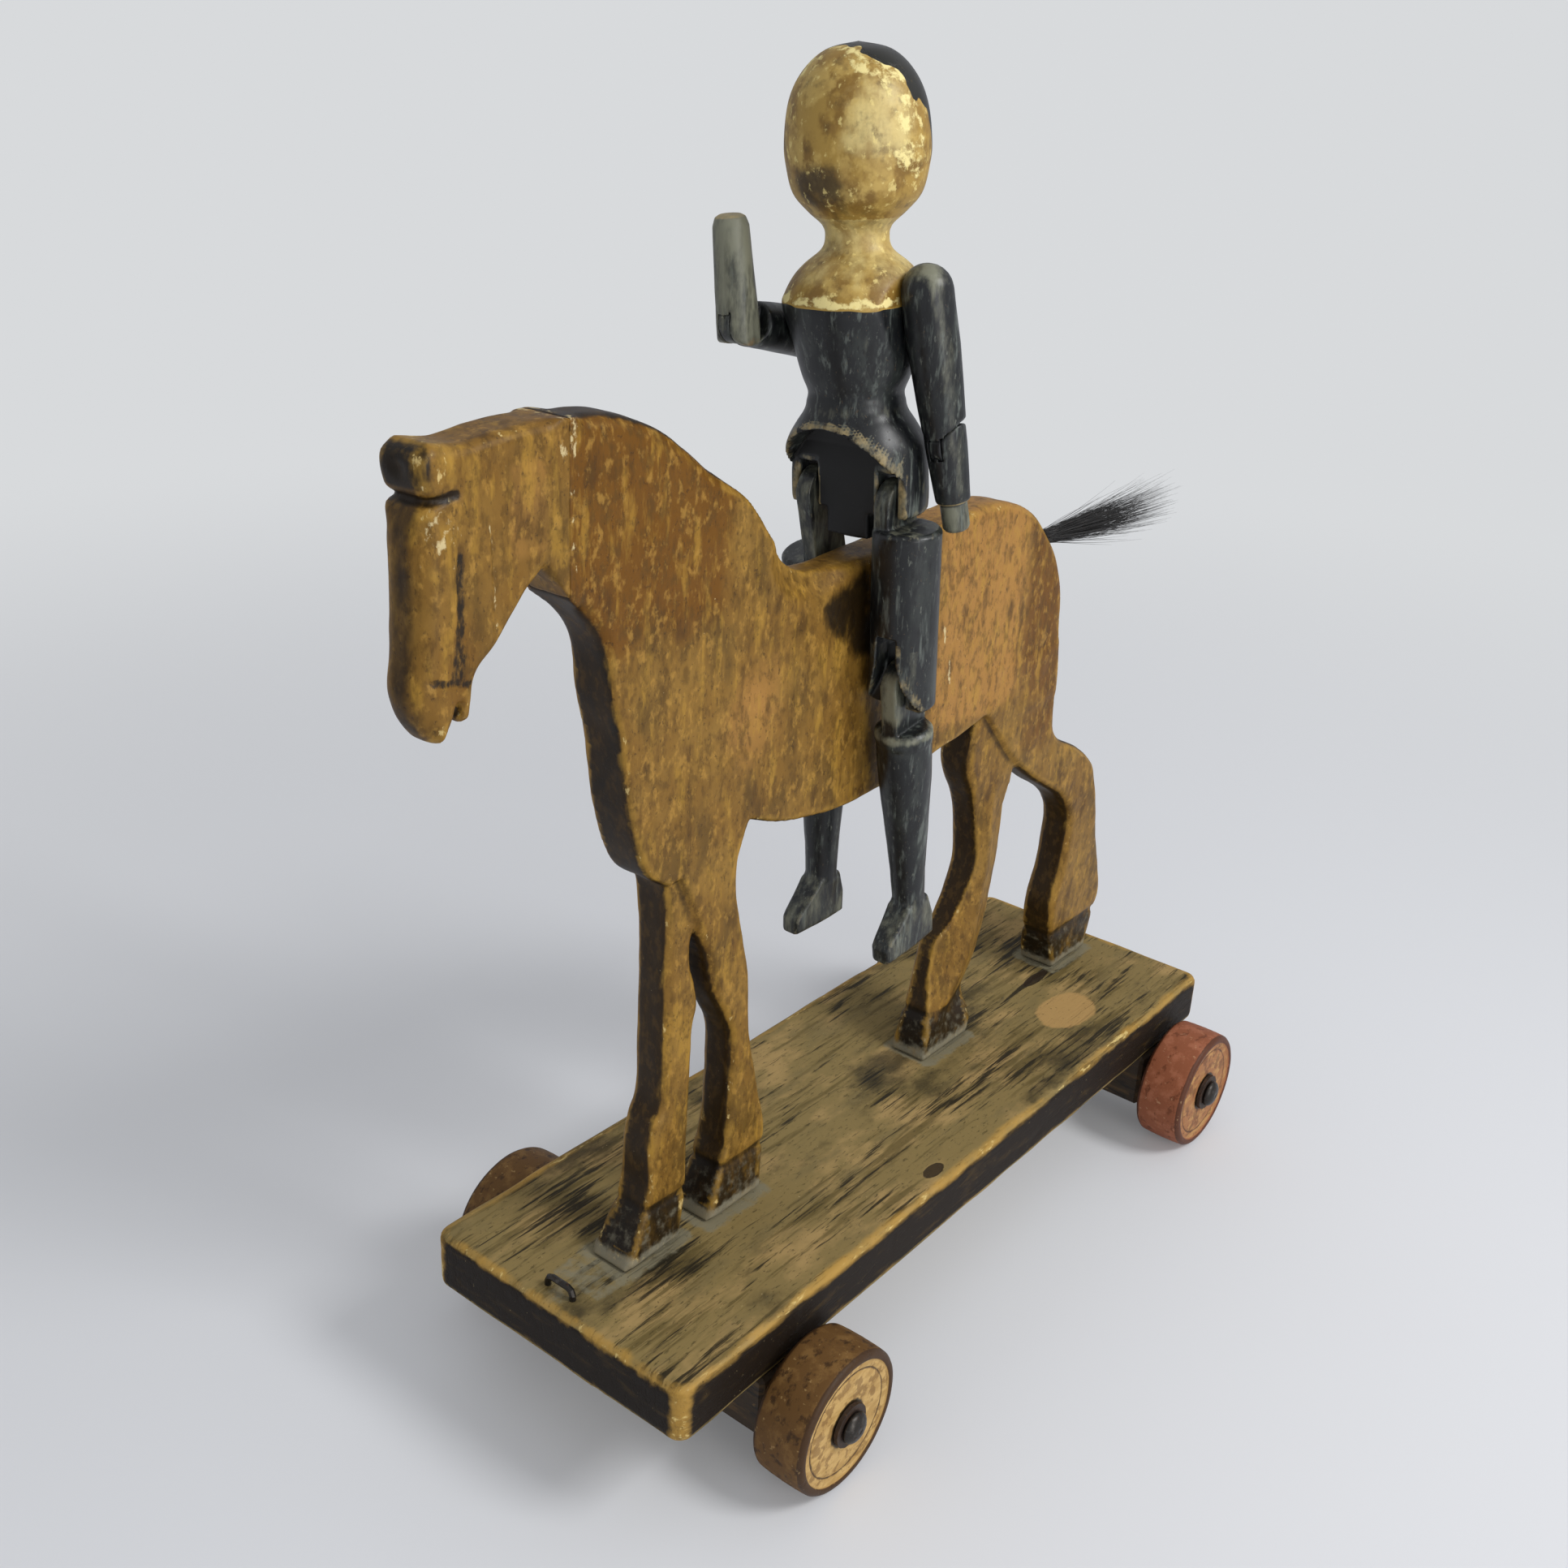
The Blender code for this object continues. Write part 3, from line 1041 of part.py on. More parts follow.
def rider(origin):
    """Seat the rider on the saddle."""
    seat = empty("rider_seat", origin, (HIP_X, 0, HIP_HEIGHT))
    lean = empty("torso_lean", seat, (0, 0, 0), (LEAN_RIGHT, LEAN_FORWARD, 0))
    torso(lean)
    arm("left", 1, lean, LEFT_ARM_SWING, LEFT_ARM_SPLAY, LEFT_ELBOW_BEND)
    arm("right", -1, lean, RIGHT_ARM_SWING, RIGHT_ARM_SPLAY, RIGHT_ELBOW_BEND)
    thigh_y = HORSE_THICKNESS / 2 + GAP + THIGH_DIAMETER / 2
    lift = HIP_SLOT_OFFSET * math.sin(LEAN_RIGHT)
    left = empty("left_hip", seat, (0, thigh_y, lift), (0, LEFT_THIGH_SWING, 0))
    thigh("left", 1, left, LEFT_THIGH_SHOULDER, LEFT_THIGH_LENGTH,
          LEFT_SHIN_SWING - LEFT_THIGH_SWING)
    right = empty("right_hip", seat, (0, -thigh_y, -lift), (0, RIGHT_THIGH_SWING, 0))
    thigh("right", -1, right, RIGHT_THIGH_SHOULDER, RIGHT_THIGH_LENGTH,
          RIGHT_SHIN_SWING - RIGHT_THIGH_SWING)


def build():
    """Build the whole toy."""
    clear_scene()
    middle = (MUZZLE_REACH - DECK_LENGTH / 2) / 2
    origin = empty("toy_origin", None, (-middle, 0, DECK_TOP))
    deck = board(origin)
    running_gear(origin, deck)
    pull_staple(origin, deck)
    horse(origin, deck)
    rider(origin)


build()
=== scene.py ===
"""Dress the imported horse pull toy: carved shapes, worn paint, studio and camera.

Shapes are worked out in millimetres in the toy's own frame, whose origin lies on the
board's top face at its centre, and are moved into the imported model's frame at the end.
"""

from __future__ import annotations

import json
import logging
import math
from dataclasses import dataclass, field
from enum import Enum
from functools import reduce
from typing import Callable

import bpy
import numpy as np
from mathutils import Matrix, Vector

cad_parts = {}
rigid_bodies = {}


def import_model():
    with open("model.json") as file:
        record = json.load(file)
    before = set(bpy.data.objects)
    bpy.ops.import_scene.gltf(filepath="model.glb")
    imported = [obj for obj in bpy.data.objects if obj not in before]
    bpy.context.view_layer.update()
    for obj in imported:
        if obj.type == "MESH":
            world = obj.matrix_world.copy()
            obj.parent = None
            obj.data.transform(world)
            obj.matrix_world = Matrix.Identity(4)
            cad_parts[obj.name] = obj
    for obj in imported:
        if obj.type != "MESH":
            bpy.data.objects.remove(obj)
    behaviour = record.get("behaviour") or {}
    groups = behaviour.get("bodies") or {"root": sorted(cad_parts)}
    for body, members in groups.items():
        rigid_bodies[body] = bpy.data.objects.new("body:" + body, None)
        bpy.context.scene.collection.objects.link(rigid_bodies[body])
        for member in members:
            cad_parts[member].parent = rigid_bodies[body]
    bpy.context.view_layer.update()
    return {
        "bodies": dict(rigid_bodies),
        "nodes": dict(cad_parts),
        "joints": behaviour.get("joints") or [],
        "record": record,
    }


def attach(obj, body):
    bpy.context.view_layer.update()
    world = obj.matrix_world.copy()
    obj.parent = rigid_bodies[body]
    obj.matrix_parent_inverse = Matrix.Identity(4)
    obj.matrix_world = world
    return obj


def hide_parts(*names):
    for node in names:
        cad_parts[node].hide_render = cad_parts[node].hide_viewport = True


LOG = logging.getLogger("horse_pull_toy")
MM = 0.001
TOY_ORIGIN = np.array([-16.925, 0.0, 43.0])

Marks = dict[str, np.ndarray]
Spot = tuple[np.ndarray, np.ndarray, np.ndarray]
Point = tuple[float, float, float]
Line = list[tuple[float, float]]


class Slot(Enum):
    """The record's material slots."""

    DECK = "deck_wood"
    HORSE = "horse_wood"
    WHEEL = "wheel_wood"
    BARE = "bare_wood"
    BLACK = "black_paint"
    IRON = "iron"
    LEATHER = "leather"
    HAIR = "horsehair"


class Side(Enum):
    """The rider's and the toy's two sides, with the sign of their Y."""

    LEFT = 1
    RIGHT = -1


# ---------------------------------------------------------------- shaders


def linear(colour: str) -> tuple[float, float, float, float]:
    """Turn an sRGB hex colour into linear red, green, blue and alpha.

    Args:
        colour: Six hex digits after a hash sign.

    Returns:
        The linear colour with alpha 1.
    """
    parts = [int(colour[i:i + 2], 16) / 255 for i in (1, 3, 5)]
    return (*[c / 12.92 if c <= 0.04045 else ((c + 0.055) / 1.055) ** 2.4 for c in parts], 1.0)


def feed(tree: bpy.types.NodeTree, plug: bpy.types.NodeSocket, value: object) -> None:
    """Give an input a plain value, or link it to the socket that feeds it."""
    if isinstance(value, bpy.types.NodeSocket):
        tree.links.new(value, plug)
    else:
        plug.default_value = value


def add_node(tree: bpy.types.NodeTree, kind: str, settings: dict | None = None,
             inputs: dict | None = None) -> bpy.types.Node:
    """Add a shader node, with its settings, plain values and links.

    Args:
        tree: The material's node tree.
        kind: Blender's name of the node type.
        settings: Values of the node's own properties.
        inputs: For each input, by name or number, a plain value or the socket that feeds it.

    Returns:
        The new node.
    """
    node = tree.nodes.new(kind)
    for name, value in (settings or {}).items():
        setattr(node, name, value)
    for name, value in (inputs or {}).items():
        feed(tree, node.inputs[name], value)
    return node


@dataclass(frozen=True)
class Coat:
    """One layer of paint, wear, dirt or grain that a noise breaks up.

    The layer shows where mark + tear * (noise - 0.5) rises from low to high, where mark is
    a value kept on the mesh, or nothing.
    """

    colour: str
    grain: Point
    low: float
    high: float
    strength: float = 1.0
    rough: float = 0.6
    relief: float = 0.0
    mark: str = ""
    tear: float = 1.0
    detail: float = 4.0
    seed: float = 0.0


@dataclass(frozen=True)
class Finish:
    """A finish: a ground colour under a list of coats."""

    name: str
    ground: str
    rough: float
    coats: tuple[Coat, ...]
    metallic: float = 0.0
    specular: float = 0.5
    clear: float = 0.0

    def material(self) -> bpy.types.Material:
        """Build the material, once, and return it."""
        made = bpy.data.materials.get(self.name)
        if made is not None:
            return made
        made = bpy.data.materials.new(self.name)
        made.use_nodes = True
        made.diffuse_color = linear(self.ground)
        tree = made.node_tree
        shader = tree.nodes["Principled BSDF"]
        shader.inputs["Metallic"].default_value = self.metallic
        shader.inputs["Specular IOR Level"].default_value = self.specular
        shader.inputs["Coat Weight"].default_value = self.clear
        shader.inputs["Coat Roughness"].default_value = 0.32
        place = add_node(tree, "ShaderNodeTexCoord").outputs["Object"]
        state: list = [linear(self.ground), self.rough, 0.0]
        for coat in self.coats:
            state = self.lay(tree, place, coat, state)
        feed(tree, shader.inputs["Base Color"], state[0])
        feed(tree, shader.inputs["Roughness"], state[1])
        if isinstance(state[2], bpy.types.NodeSocket):
            bump = add_node(tree, "ShaderNodeBump", None,
                            {"Strength": 1.0, "Distance": MM, "Height": state[2]})
            tree.links.new(bump.outputs["Normal"], shader.inputs["Normal"])
        return made

    def lay(self, tree: bpy.types.NodeTree, place: bpy.types.NodeSocket, coat: Coat,
            state: list) -> list:
        """Lay one coat over what is there.

        Args:
            tree: The material's node tree.
            place: The object coordinates.
            coat: The coat.
            state: Colour, roughness and height in millimetres so far.

        Returns:
            Colour, roughness and height with the coat on.
        """
        scale = tuple(1000.0 / size for size in coat.grain)
        spot = add_node(tree, "ShaderNodeMapping", None,
                        {"Vector": place, "Location": (coat.seed, coat.seed * 1.7, -coat.seed),
                         "Scale": scale})
        noise = add_node(tree, "ShaderNodeTexNoise", None,
                         {"Vector": spot.outputs[0], "Scale": 1.0, "Detail": coat.detail,
                          "Roughness": 0.62})
        torn = add_node(tree, "ShaderNodeMath", {"operation": "MULTIPLY_ADD"},
                        {0: noise.outputs[0], 1: coat.tear, 2: -coat.tear / 2}).outputs[0]
        if coat.mark:
            mark = add_node(tree, "ShaderNodeAttribute", {"attribute_name": coat.mark})
            torn = add_node(tree, "ShaderNodeMath", {"operation": "ADD"},
                            {0: torn, 1: mark.outputs["Fac"]}).outputs[0]
        amount = add_node(tree, "ShaderNodeMapRange", {"interpolation_type": "SMOOTHSTEP"},
                          {"Value": torn, "From Min": coat.low, "From Max": coat.high,
                           "To Min": 0.0, "To Max": coat.strength}).outputs[0]
        colour = add_node(tree, "ShaderNodeMix", {"data_type": "RGBA"},
                          {0: amount, 6: state[0], 7: linear(coat.colour)}).outputs[2]
        rough = add_node(tree, "ShaderNodeMix", {"data_type": "FLOAT"},
                         {0: amount, 2: state[1], 3: coat.rough}).outputs[0]
        height = state[2]
        if coat.relief:
            height = add_node(tree, "ShaderNodeMath", {"operation": "MULTIPLY_ADD"},
                              {0: amount, 1: coat.relief, 2: state[2]}).outputs[0]
        return [colour, rough, height]


# Oil paint over gesso on hand-carved pine, rubbed and browned by old varnish: it gives a
# satin brown ground, long dark streaks down the grain, gold arrises and cream gesso chips.
HORSE_PAINT = Finish("aged_varnished_ochre_paint_on_carved_pine", "#77561f", 0.48, (
    Coat("#8a692d", (22, 14, 26), -0.10, 0.16, 0.85, 0.50),
    Coat("#5a4217", (11, 9, 26), -0.02, 0.16, 0.8, 0.46, seed=3.1),
    Coat("#643e02", (14, 14, 18), 0.25, 0.85, 0.9, 0.42, mark="amber", tear=1.1, seed=4.2),
    Coat("#a27539", (24, 24, 24), 0.35, 0.90, 0.85, 0.52, mark="tan", tear=0.9, seed=8.0),
    Coat("#a8812f", (3.4, 3.4, 14), 0.02, 0.18, 0.50, 0.44, seed=1.4),
    Coat("#402807", (4.5, 4.5, 12), 0.02, 0.20, 0.70, 0.44, seed=5.0, detail=7.0),
    Coat("#4f370f", (2.0, 2.0, 3.4), -0.04, 0.16, 0.6, 0.46, seed=18.0, detail=7.0),
    Coat("#a88038", (1.9, 1.9, 3.0), 0.02, 0.18, 0.55, 0.50, seed=19.5, detail=7.0),
    Coat("#2e1d08", (0.9, 0.9, 1.3), 0.09, 0.19, 0.50, 0.46, seed=2.2, relief=-0.05),
    # The side coats darken the sawn edge faces as painted shade, with lighter flecks
    Coat("#241706", (8, 8, 12), 0.25, 0.80, 0.95, 0.46, mark="side", tear=0.9, seed=4.0),
    Coat("#4e3815", (1.8, 1.8, 3.0), 0.95, 1.25, 0.55, 0.5, mark="side", tear=2.0, seed=24.0),
    # dark: black hooves, a saddle cloth, darker crest and muzzle, and painted shade and shadow
    # under the rider's thigh, on the breast's front faces and in the ear notch
    Coat("#140d05", (5, 5, 8), 0.35, 0.95, 0.93, 0.42, mark="dark", tear=1.4, seed=9.3),
    Coat("#1f1305", (4, 4, 4), 0.25, 0.75, 0.85, 0.5, mark="hollow", tear=0.5, seed=2.9),
    Coat("#ac8536", (4.5, 4.5, 9.0), 0.55, 1.35, 0.62, 0.46, mark="wear", tear=2.2, seed=7.7,
         detail=8.0),
    Coat("#d6bc7c", (2.0, 2.0, 4.0), 1.16, 1.42, 0.7, 0.6, mark="wear", tear=2.8, seed=1.9,
         relief=-0.06),
    Coat("#cdbb8c", (1.7, 1.7, 2.6), 0.60, 0.90, 0.8, 0.65, mark="pale", tear=2.4, seed=3.9,
         relief=0.05),
    Coat("#85806d", (2.4, 2.4, 2.4), 0.40, 0.95, 0.8, 0.8, mark="dust", tear=1.2, seed=5.5,
         detail=6.0),
    Coat("#120d08", (1.0, 1.0, 2.2), 0.50, 1.00, 0.9, 0.45, mark="line", tear=1.6, seed=6.6),
    Coat("#dccb98", (0.6, 0.6, 0.7), 0.22, 0.26, 0.6, 0.6, seed=12.0),
), specular=0.22)

# Black wash rubbed through on a sawn pine board: dusty tan ground, broken dark grain lines
# along its length, a worn gold arris and grey dust trapped round the hooves.
BOARD_PAINT = Finish("rubbed_black_wash_on_sawn_pine", "#857246", 0.74, (
    Coat("#a88c5a", (24, 12, 10), -0.04, 0.16, 0.85, 0.74),
    Coat("#766742", (26, 9, 10), 0.00, 0.16, 0.7, 0.74, seed=4.4),
    Coat("#5a4c28", (34, 2.6, 6), 0.46, 0.60, 0.75, 0.70, mark="worn", tear=1.0, seed=1.2,
         relief=-0.06, detail=7.0),
    Coat("#211c10", (22, 1.5, 4), 0.52, 0.62, 0.92, 0.66, mark="worn", tear=1.0, seed=3.3,
         relief=-0.10, detail=9.0),
    Coat("#1d1a10", (38, 22, 10), 0.40, 0.66, 0.75, 0.62, mark="grime", tear=1.6, seed=8.8,
         detail=9.0),
    Coat("#3a3118", (3.0, 0.8, 1.0), 0.08, 0.16, 0.6, 0.66, seed=21.0, relief=-0.05),
    # The side coats darken and fleck the board's edge faces: painted shade
    Coat("#191007", (12, 8, 7), 0.20, 0.75, 1.0, 0.6, mark="side", tear=0.8, seed=5.1),
    Coat("#4a3818", (11, 11, 2.5), 1.05, 1.35, 0.6, 0.6, mark="side", tear=1.4, seed=7.1,
         detail=7.0),
    Coat("#b18e58", (5, 5, 5), 0.45, 0.62, 0.9, 0.78, mark="patch", tear=0.45, seed=2.0,
         relief=-0.05),
    Coat("#2a1e12", (3, 3, 3), 0.45, 0.62, 0.9, 0.6, mark="scar", tear=0.5, seed=2.5,
         relief=-0.3),
    Coat("#7e7862", (3.2, 3.2, 3.2), 0.42, 0.86, 0.85, 0.85, mark="dust", tear=1.1, seed=6.3,
         relief=0.08),
    Coat("#b18a40", (16, 6, 5), 0.35, 1.05, 0.8, 0.6, mark="wear", tear=1.8, seed=9.9,
         detail=9.0),
    Coat("#dcc37e", (7, 2.0, 2.2), 0.95, 1.20, 0.75, 0.6, mark="wear", tear=2.4, seed=0.7,
         detail=6.0),
    Coat("#c6b280", (0.7, 0.7, 0.7), 0.20, 0.235, 0.55, 0.7, seed=12.0),
    Coat("#17130d", (0.9, 0.6, 0.7), 0.15, 0.20, 0.6, 0.6, seed=15.0, relief=-0.1),
), specular=0.2)

# Black oil paint on turned beech, polished by hands: satin black with grey-olive bloom where
# it has thinned, brown specks of bare wood and pale rims at every cut edge. The grey streaks are
# partly painted sheen, a band down the left arm is a painted highlight, and recesses are painted
# deeper black as painted shade.
BLACK_PAINT = Finish("rubbed_black_oil_paint_on_turned_beech", "#131517", 0.38, (
    Coat("#2c302d", (6, 6, 16), -0.04, 0.16, 0.85, 0.34),
    # Grey streaks down each piece: partly thinned paint, partly painted sheen
    Coat("#5f655f", (1.8, 1.8, 13), 0.03, 0.18, 0.70, 0.40, seed=2.1, detail=7.0),
    Coat("#08090a", (2.6, 2.6, 7), 0.04, 0.14, 0.85, 0.32, seed=4.6),
    Coat("#7b7f74", (0.9, 0.9, 2.6), 0.10, 0.22, 0.5, 0.45, seed=14.6, detail=6.0),
    Coat("#4a3c28", (0.8, 0.8, 1.1), 0.145, 0.20, 0.6, 0.5, seed=6.0, relief=-0.03),
    # Bloom: grey-olive thinned paint; on the left arm it also carries a painted highlight
    Coat("#858571", (2.6, 2.6, 9), 0.45, 1.05, 0.8, 0.50, mark="bloom", tear=1.3, seed=3.7),
    Coat("#6f6a55", (2.0, 2.0, 3.0), 0.85, 1.15, 0.7, 0.5, mark="wear", tear=2.0, seed=7.2),
    Coat("#b09a68", (3.0, 3.0, 3.4), 0.70, 1.20, 0.75, 0.6, mark="rim", tear=1.2, seed=1.1,
         relief=-0.05),
    Coat("#8f7047", (1.8, 1.8, 2.2), 0.45, 0.95, 0.8, 0.6, mark="bare", tear=1.1, seed=9.1),
    # Deeper black in the hip arch, the core block and the knee slots: painted shade
    Coat("#030303", (3, 3, 3), 0.45, 0.75, 1.0, 0.6, mark="inside", tear=0.3, seed=9.7),
    # Gilded varnish over gesso on the bust, neck and blank face, with painted highlights on the
    # face and brow, and painted shade under the chin
    Coat("#a3833a", (4, 4, 5), 0.48, 0.56, 1.0, 0.50, mark="gold", tear=0.16, seed=5.8),
    Coat("#755519", (8, 8, 9), 0.86, 1.20, 0.85, 0.46, mark="gold", tear=2.2, seed=2.4),
    Coat("#bd9f55", (6.0, 6.0, 7.0), 0.98, 1.22, 0.8, 0.52, mark="gold", tear=2.0, seed=8.3),
    # Painted highlight on the face where it turns towards the lights, and paler gilt on the bust
    # and neck
    Coat("#d6c281", (5.0, 5.0, 6.0), 0.30, 1.00, 0.80, 0.50, mark="bright", tear=1.3, seed=3.6),
    # Dark smudges on the face, and painted shade under the chin and low on the head's right side
    Coat("#281c0a", (4.6, 4.6, 5.0), 0.35, 1.00, 0.85, 0.44, mark="smudge", tear=1.3, seed=3.2),
    Coat("#86652a", (4.6, 4.6, 5.2), 0.90, 1.40, 0.6, 0.5, mark="gold", tear=2.0, seed=6.9,
         detail=6.0),
    Coat("#4c3814", (3.4, 3.4, 4.0), 1.06, 1.56, 0.6, 0.5, mark="gold", tear=2.4, seed=26.9,
         detail=6.0),
    # Cream flakes, and a painted highlight along the brow under the hairline
    Coat("#e8d792", (3.4, 3.4, 2.8), 0.56, 0.84, 0.95, 0.58, mark="flake", tear=2.2, seed=4.9,
         relief=0.08, detail=6.0),
    Coat("#dfca80", (1.8, 1.8, 2.4), 1.22, 1.52, 0.7, 0.55, mark="gold", tear=2.8, seed=16.9),
    Coat("#17160f", (2.2, 2.2, 2.6), 0.46, 0.58, 1.0, 0.36, mark="hair", tear=0.45, seed=1.6),
    Coat("#5b4a26", (1.0, 1.0, 1.4), 1.42, 1.55, 0.5, 0.45, mark="hair", tear=3.0, seed=1.3),
), specular=0.45)

# Turned beech under a brown wash: the tread is dark and mottled, and the turned face shows
# bare warm wood inside a dark rim, with a black halo round the nail.
WHEEL_PAINT = Finish("brown_washed_turned_beech", "#62441f", 0.62, (
    Coat("#7d5c30", (4, 4, 4), -0.02, 0.16, 0.7, 0.62),
    Coat("#38230c", (3, 2.2, 3), 0.02, 0.15, 0.85, 0.58, seed=2.0, relief=-0.05, detail=7.0),
    Coat("#b0905c", (1.6, 2.0, 1.6), 0.13, 0.22, 0.6, 0.66, seed=4.0),
    Coat("#ad8a50", (5, 3, 5), 0.42, 0.58, 0.95, 0.56, mark="face", tear=0.5, seed=1.0),
    Coat("#c6a468", (6, 3, 2.5), 0.85, 1.15, 0.7, 0.58, mark="face", tear=1.6, seed=6.0),
    Coat("#6d4c24", (3, 3, 3), 0.98, 1.20, 0.6, 0.55, mark="face", tear=2.2, seed=8.0),
    Coat("#3b2612", (2.5, 2.5, 2.5), 0.40, 0.75, 0.92, 0.5, mark="ring", tear=0.7, seed=5.0),
    Coat("#1a120a", (2.0, 2.0, 2.0), 0.40, 0.80, 0.95, 0.45, mark="halo", tear=0.6, seed=7.0),
    Coat("#c3a06a", (2.0, 2.0, 2.0), 0.75, 1.0, 0.6, 0.6, mark="wear", tear=1.4, seed=3.0),
), specular=0.25)

# The rear wheels keep more of a red lead wash than the front ones.
RED_WHEEL_PAINT = Finish("red_lead_washed_turned_beech", "#8d5236", 0.62, (
    Coat("#a5674a", (4, 4, 4), -0.02, 0.16, 0.8, 0.64),
    Coat("#6b3a22", (3, 2.2, 3), 0.05, 0.16, 0.8, 0.58, seed=2.0, relief=-0.05),
    Coat("#b98d6a", (1.4, 1.8, 1.4), 0.12, 0.20, 0.65, 0.68, seed=4.0),
    Coat("#9a6a42", (5, 3, 5), 0.42, 0.58, 0.9, 0.58, mark="face", tear=0.5, seed=1.0),
    Coat("#b48a54", (6, 3, 3), 0.92, 1.22, 0.8, 0.6, mark="face", tear=1.8, seed=6.0),
    Coat("#5a3320", (3, 3, 3), 0.98, 1.20, 0.6, 0.55, mark="face", tear=2.2, seed=8.0),
    Coat("#4a2817", (2.5, 2.5, 2.5), 0.40, 0.75, 0.9, 0.5, mark="ring", tear=0.7, seed=5.0),
    Coat("#1a120a", (2.0, 2.0, 2.0), 0.40, 0.80, 0.95, 0.45, mark="halo", tear=0.6, seed=7.0),
    Coat("#cdac80", (2.0, 2.0, 2.0), 0.75, 1.0, 0.6, 0.6, mark="wear", tear=1.4, seed=3.0),
), specular=0.25)

# Hand-forged iron, browned, with lighter mottling and rust spots.
IRON = Finish("browned_forged_iron", "#3a3734", 0.40, (
    Coat("#5a5550", (1.5, 1.5, 1.5), 0.02, 0.18, 0.7, 0.30),
    Coat("#4a2c1a", (1.0, 1.0, 1.0), 0.10, 0.20, 0.7, 0.75, seed=2.0, relief=0.03),
), metallic=0.9)

# Vegetable-tanned leather, cut round and greasy: dark brown, fine pores.
LEATHER = Finish("greasy_cut_leather", "#2c1d12", 0.62, (
    Coat("#4a3220", (1.6, 1.6, 1.6), 0.0, 0.18, 0.7, 0.66),
    Coat("#120c07", (0.5, 0.5, 0.5), 0.10, 0.18, 0.7, 0.6, seed=2.0, relief=-0.05),
))

# Split pine, never painted: warm straw colour with brown grain lines along the piece.
BARE_WOOD = Finish("bare_split_pine", "#a98655", 0.66, (
    Coat("#7d5c34", (1.4, 6.0, 1.4), 0.03, 0.15, 0.8, 0.66, relief=-0.03),
    Coat("#3a2a18", (3.0, 3.0, 3.0), 0.06, 0.2, 0.7, 0.6, seed=3.0),
))

# Sawn pine axle block under the board, in the board's own black wash.
BLOCK_PAINT = Finish("black_washed_sawn_pine_block", "#3a2c1c", 0.68, (
    Coat("#5b4527", (4.0, 18.0, 3.0), 0.02, 0.14, 0.8, 0.7),
    Coat("#191209", (3.0, 12.0, 2.0), 0.04, 0.14, 0.85, 0.62, seed=4.0, relief=-0.06),
    Coat("#8d6f40", (2.0, 5.0, 1.6), 0.15, 0.23, 0.6, 0.7, seed=7.0),
))

# Black horsehair: slightly brown, each hair with a soft sheen along it.
HORSEHAIR = Finish("black_horsehair", "#141210", 0.42, (
    Coat("#3a3029", (3.0, 0.6, 0.6), 0.06, 0.18, 0.6, 0.36),
))


# ---------------------------------------------------------------- shapes


def smooth_line(points: Line, step: float = 1.0) -> np.ndarray:
    """Lead a smooth curve through points: a Catmull-Rom spline, sampled every step or so.

    Args:
        points: The points that the curve passes.
        step: Rough distance between samples, in millimetres.

    Returns:
        The samples, without the last point.
    """
    spots = np.array([points[0], *points, points[-1]], float)
    if len(points) == 2:
        return spots[1:2]
    made = []
    for a, b, c, d in zip(spots[:-3], spots[1:-2], spots[2:-1], spots[3:]):
        count = max(2, int(np.hypot(*(c - b)) / step))
        t = (np.arange(count) / count)[:, None]
        made.append(0.5 * (2 * b + (c - a) * t + (2 * a - 5 * b + 4 * c - d) * t ** 2
                           + (3 * b - a - 3 * c + d) * t ** 3))
    return np.concatenate(made)


def outline_of(stretches: list[Line]) -> np.ndarray:
    """Join smooth stretches into one closed outline, with a corner where each one starts.

    A stretch ends at the first point of the next one, which isn't repeated in it.
    """
    return np.concatenate([smooth_line([*stretch, after[0]])
                           for stretch, after in zip(stretches, stretches[1:] + stretches[:1])])


def outline_distance(u: np.ndarray, v: np.ndarray, outline: np.ndarray) -> np.ndarray:
    """Work out how far each point lies outside a closed outline, negative inside.

    The distance is the least one to any side, and a point is inside where an odd number
    of sides cross the line that runs from it along u.

    Args:
        u: First coordinate of the points.
        v: Second coordinate, of the same shape.
        outline: The outline's corners in order.

    Returns:
        Signed distances in the shape of u.
    """
    best = np.full(u.shape, 1e9, np.float32)
    inside = np.zeros(u.shape, bool)
    for (ax, ay), (bx, by) in zip(outline, np.roll(outline, -1, axis=0)):
        dx, dy = bx - ax, by - ay
        t = np.clip(((u - ax) * dx + (v - ay) * dy) / max(dx * dx + dy * dy, 1e-9), 0, 1)
        best = np.minimum(best, (u - ax - t * dx) ** 2 + (v - ay - t * dy) ** 2)
        if ay != by:
            inside ^= ((ay > v) != (by > v)) & (u < dx * (v - ay) / dy + ax)
    return np.where(inside, -np.sqrt(best), np.sqrt(best)).astype(np.float32)


def path_distance(u: np.ndarray, v: np.ndarray, path: Line) -> np.ndarray:
    """Work out the distance of each point to an open path of straight lines."""
    best = np.full(u.shape, 1e9)
    for (ax, ay), (bx, by) in zip(path[:-1], path[1:]):
        dx, dy = bx - ax, by - ay
        t = np.clip(((u - ax) * dx + (v - ay) * dy) / (dx * dx + dy * dy), 0, 1)
        best = np.minimum(best, (u - ax - t * dx) ** 2 + (v - ay - t * dy) ** 2)
    return np.sqrt(best)


def held(spot: Spot, flat: Callable, drawn: object) -> np.ndarray:
    """Work out a flat distance in x and z on the lattice, the same at every y."""
    x, _, z = spot
    return flat(*np.broadcast_arrays(x[:, 0], z[0]), drawn)[:, None, :]


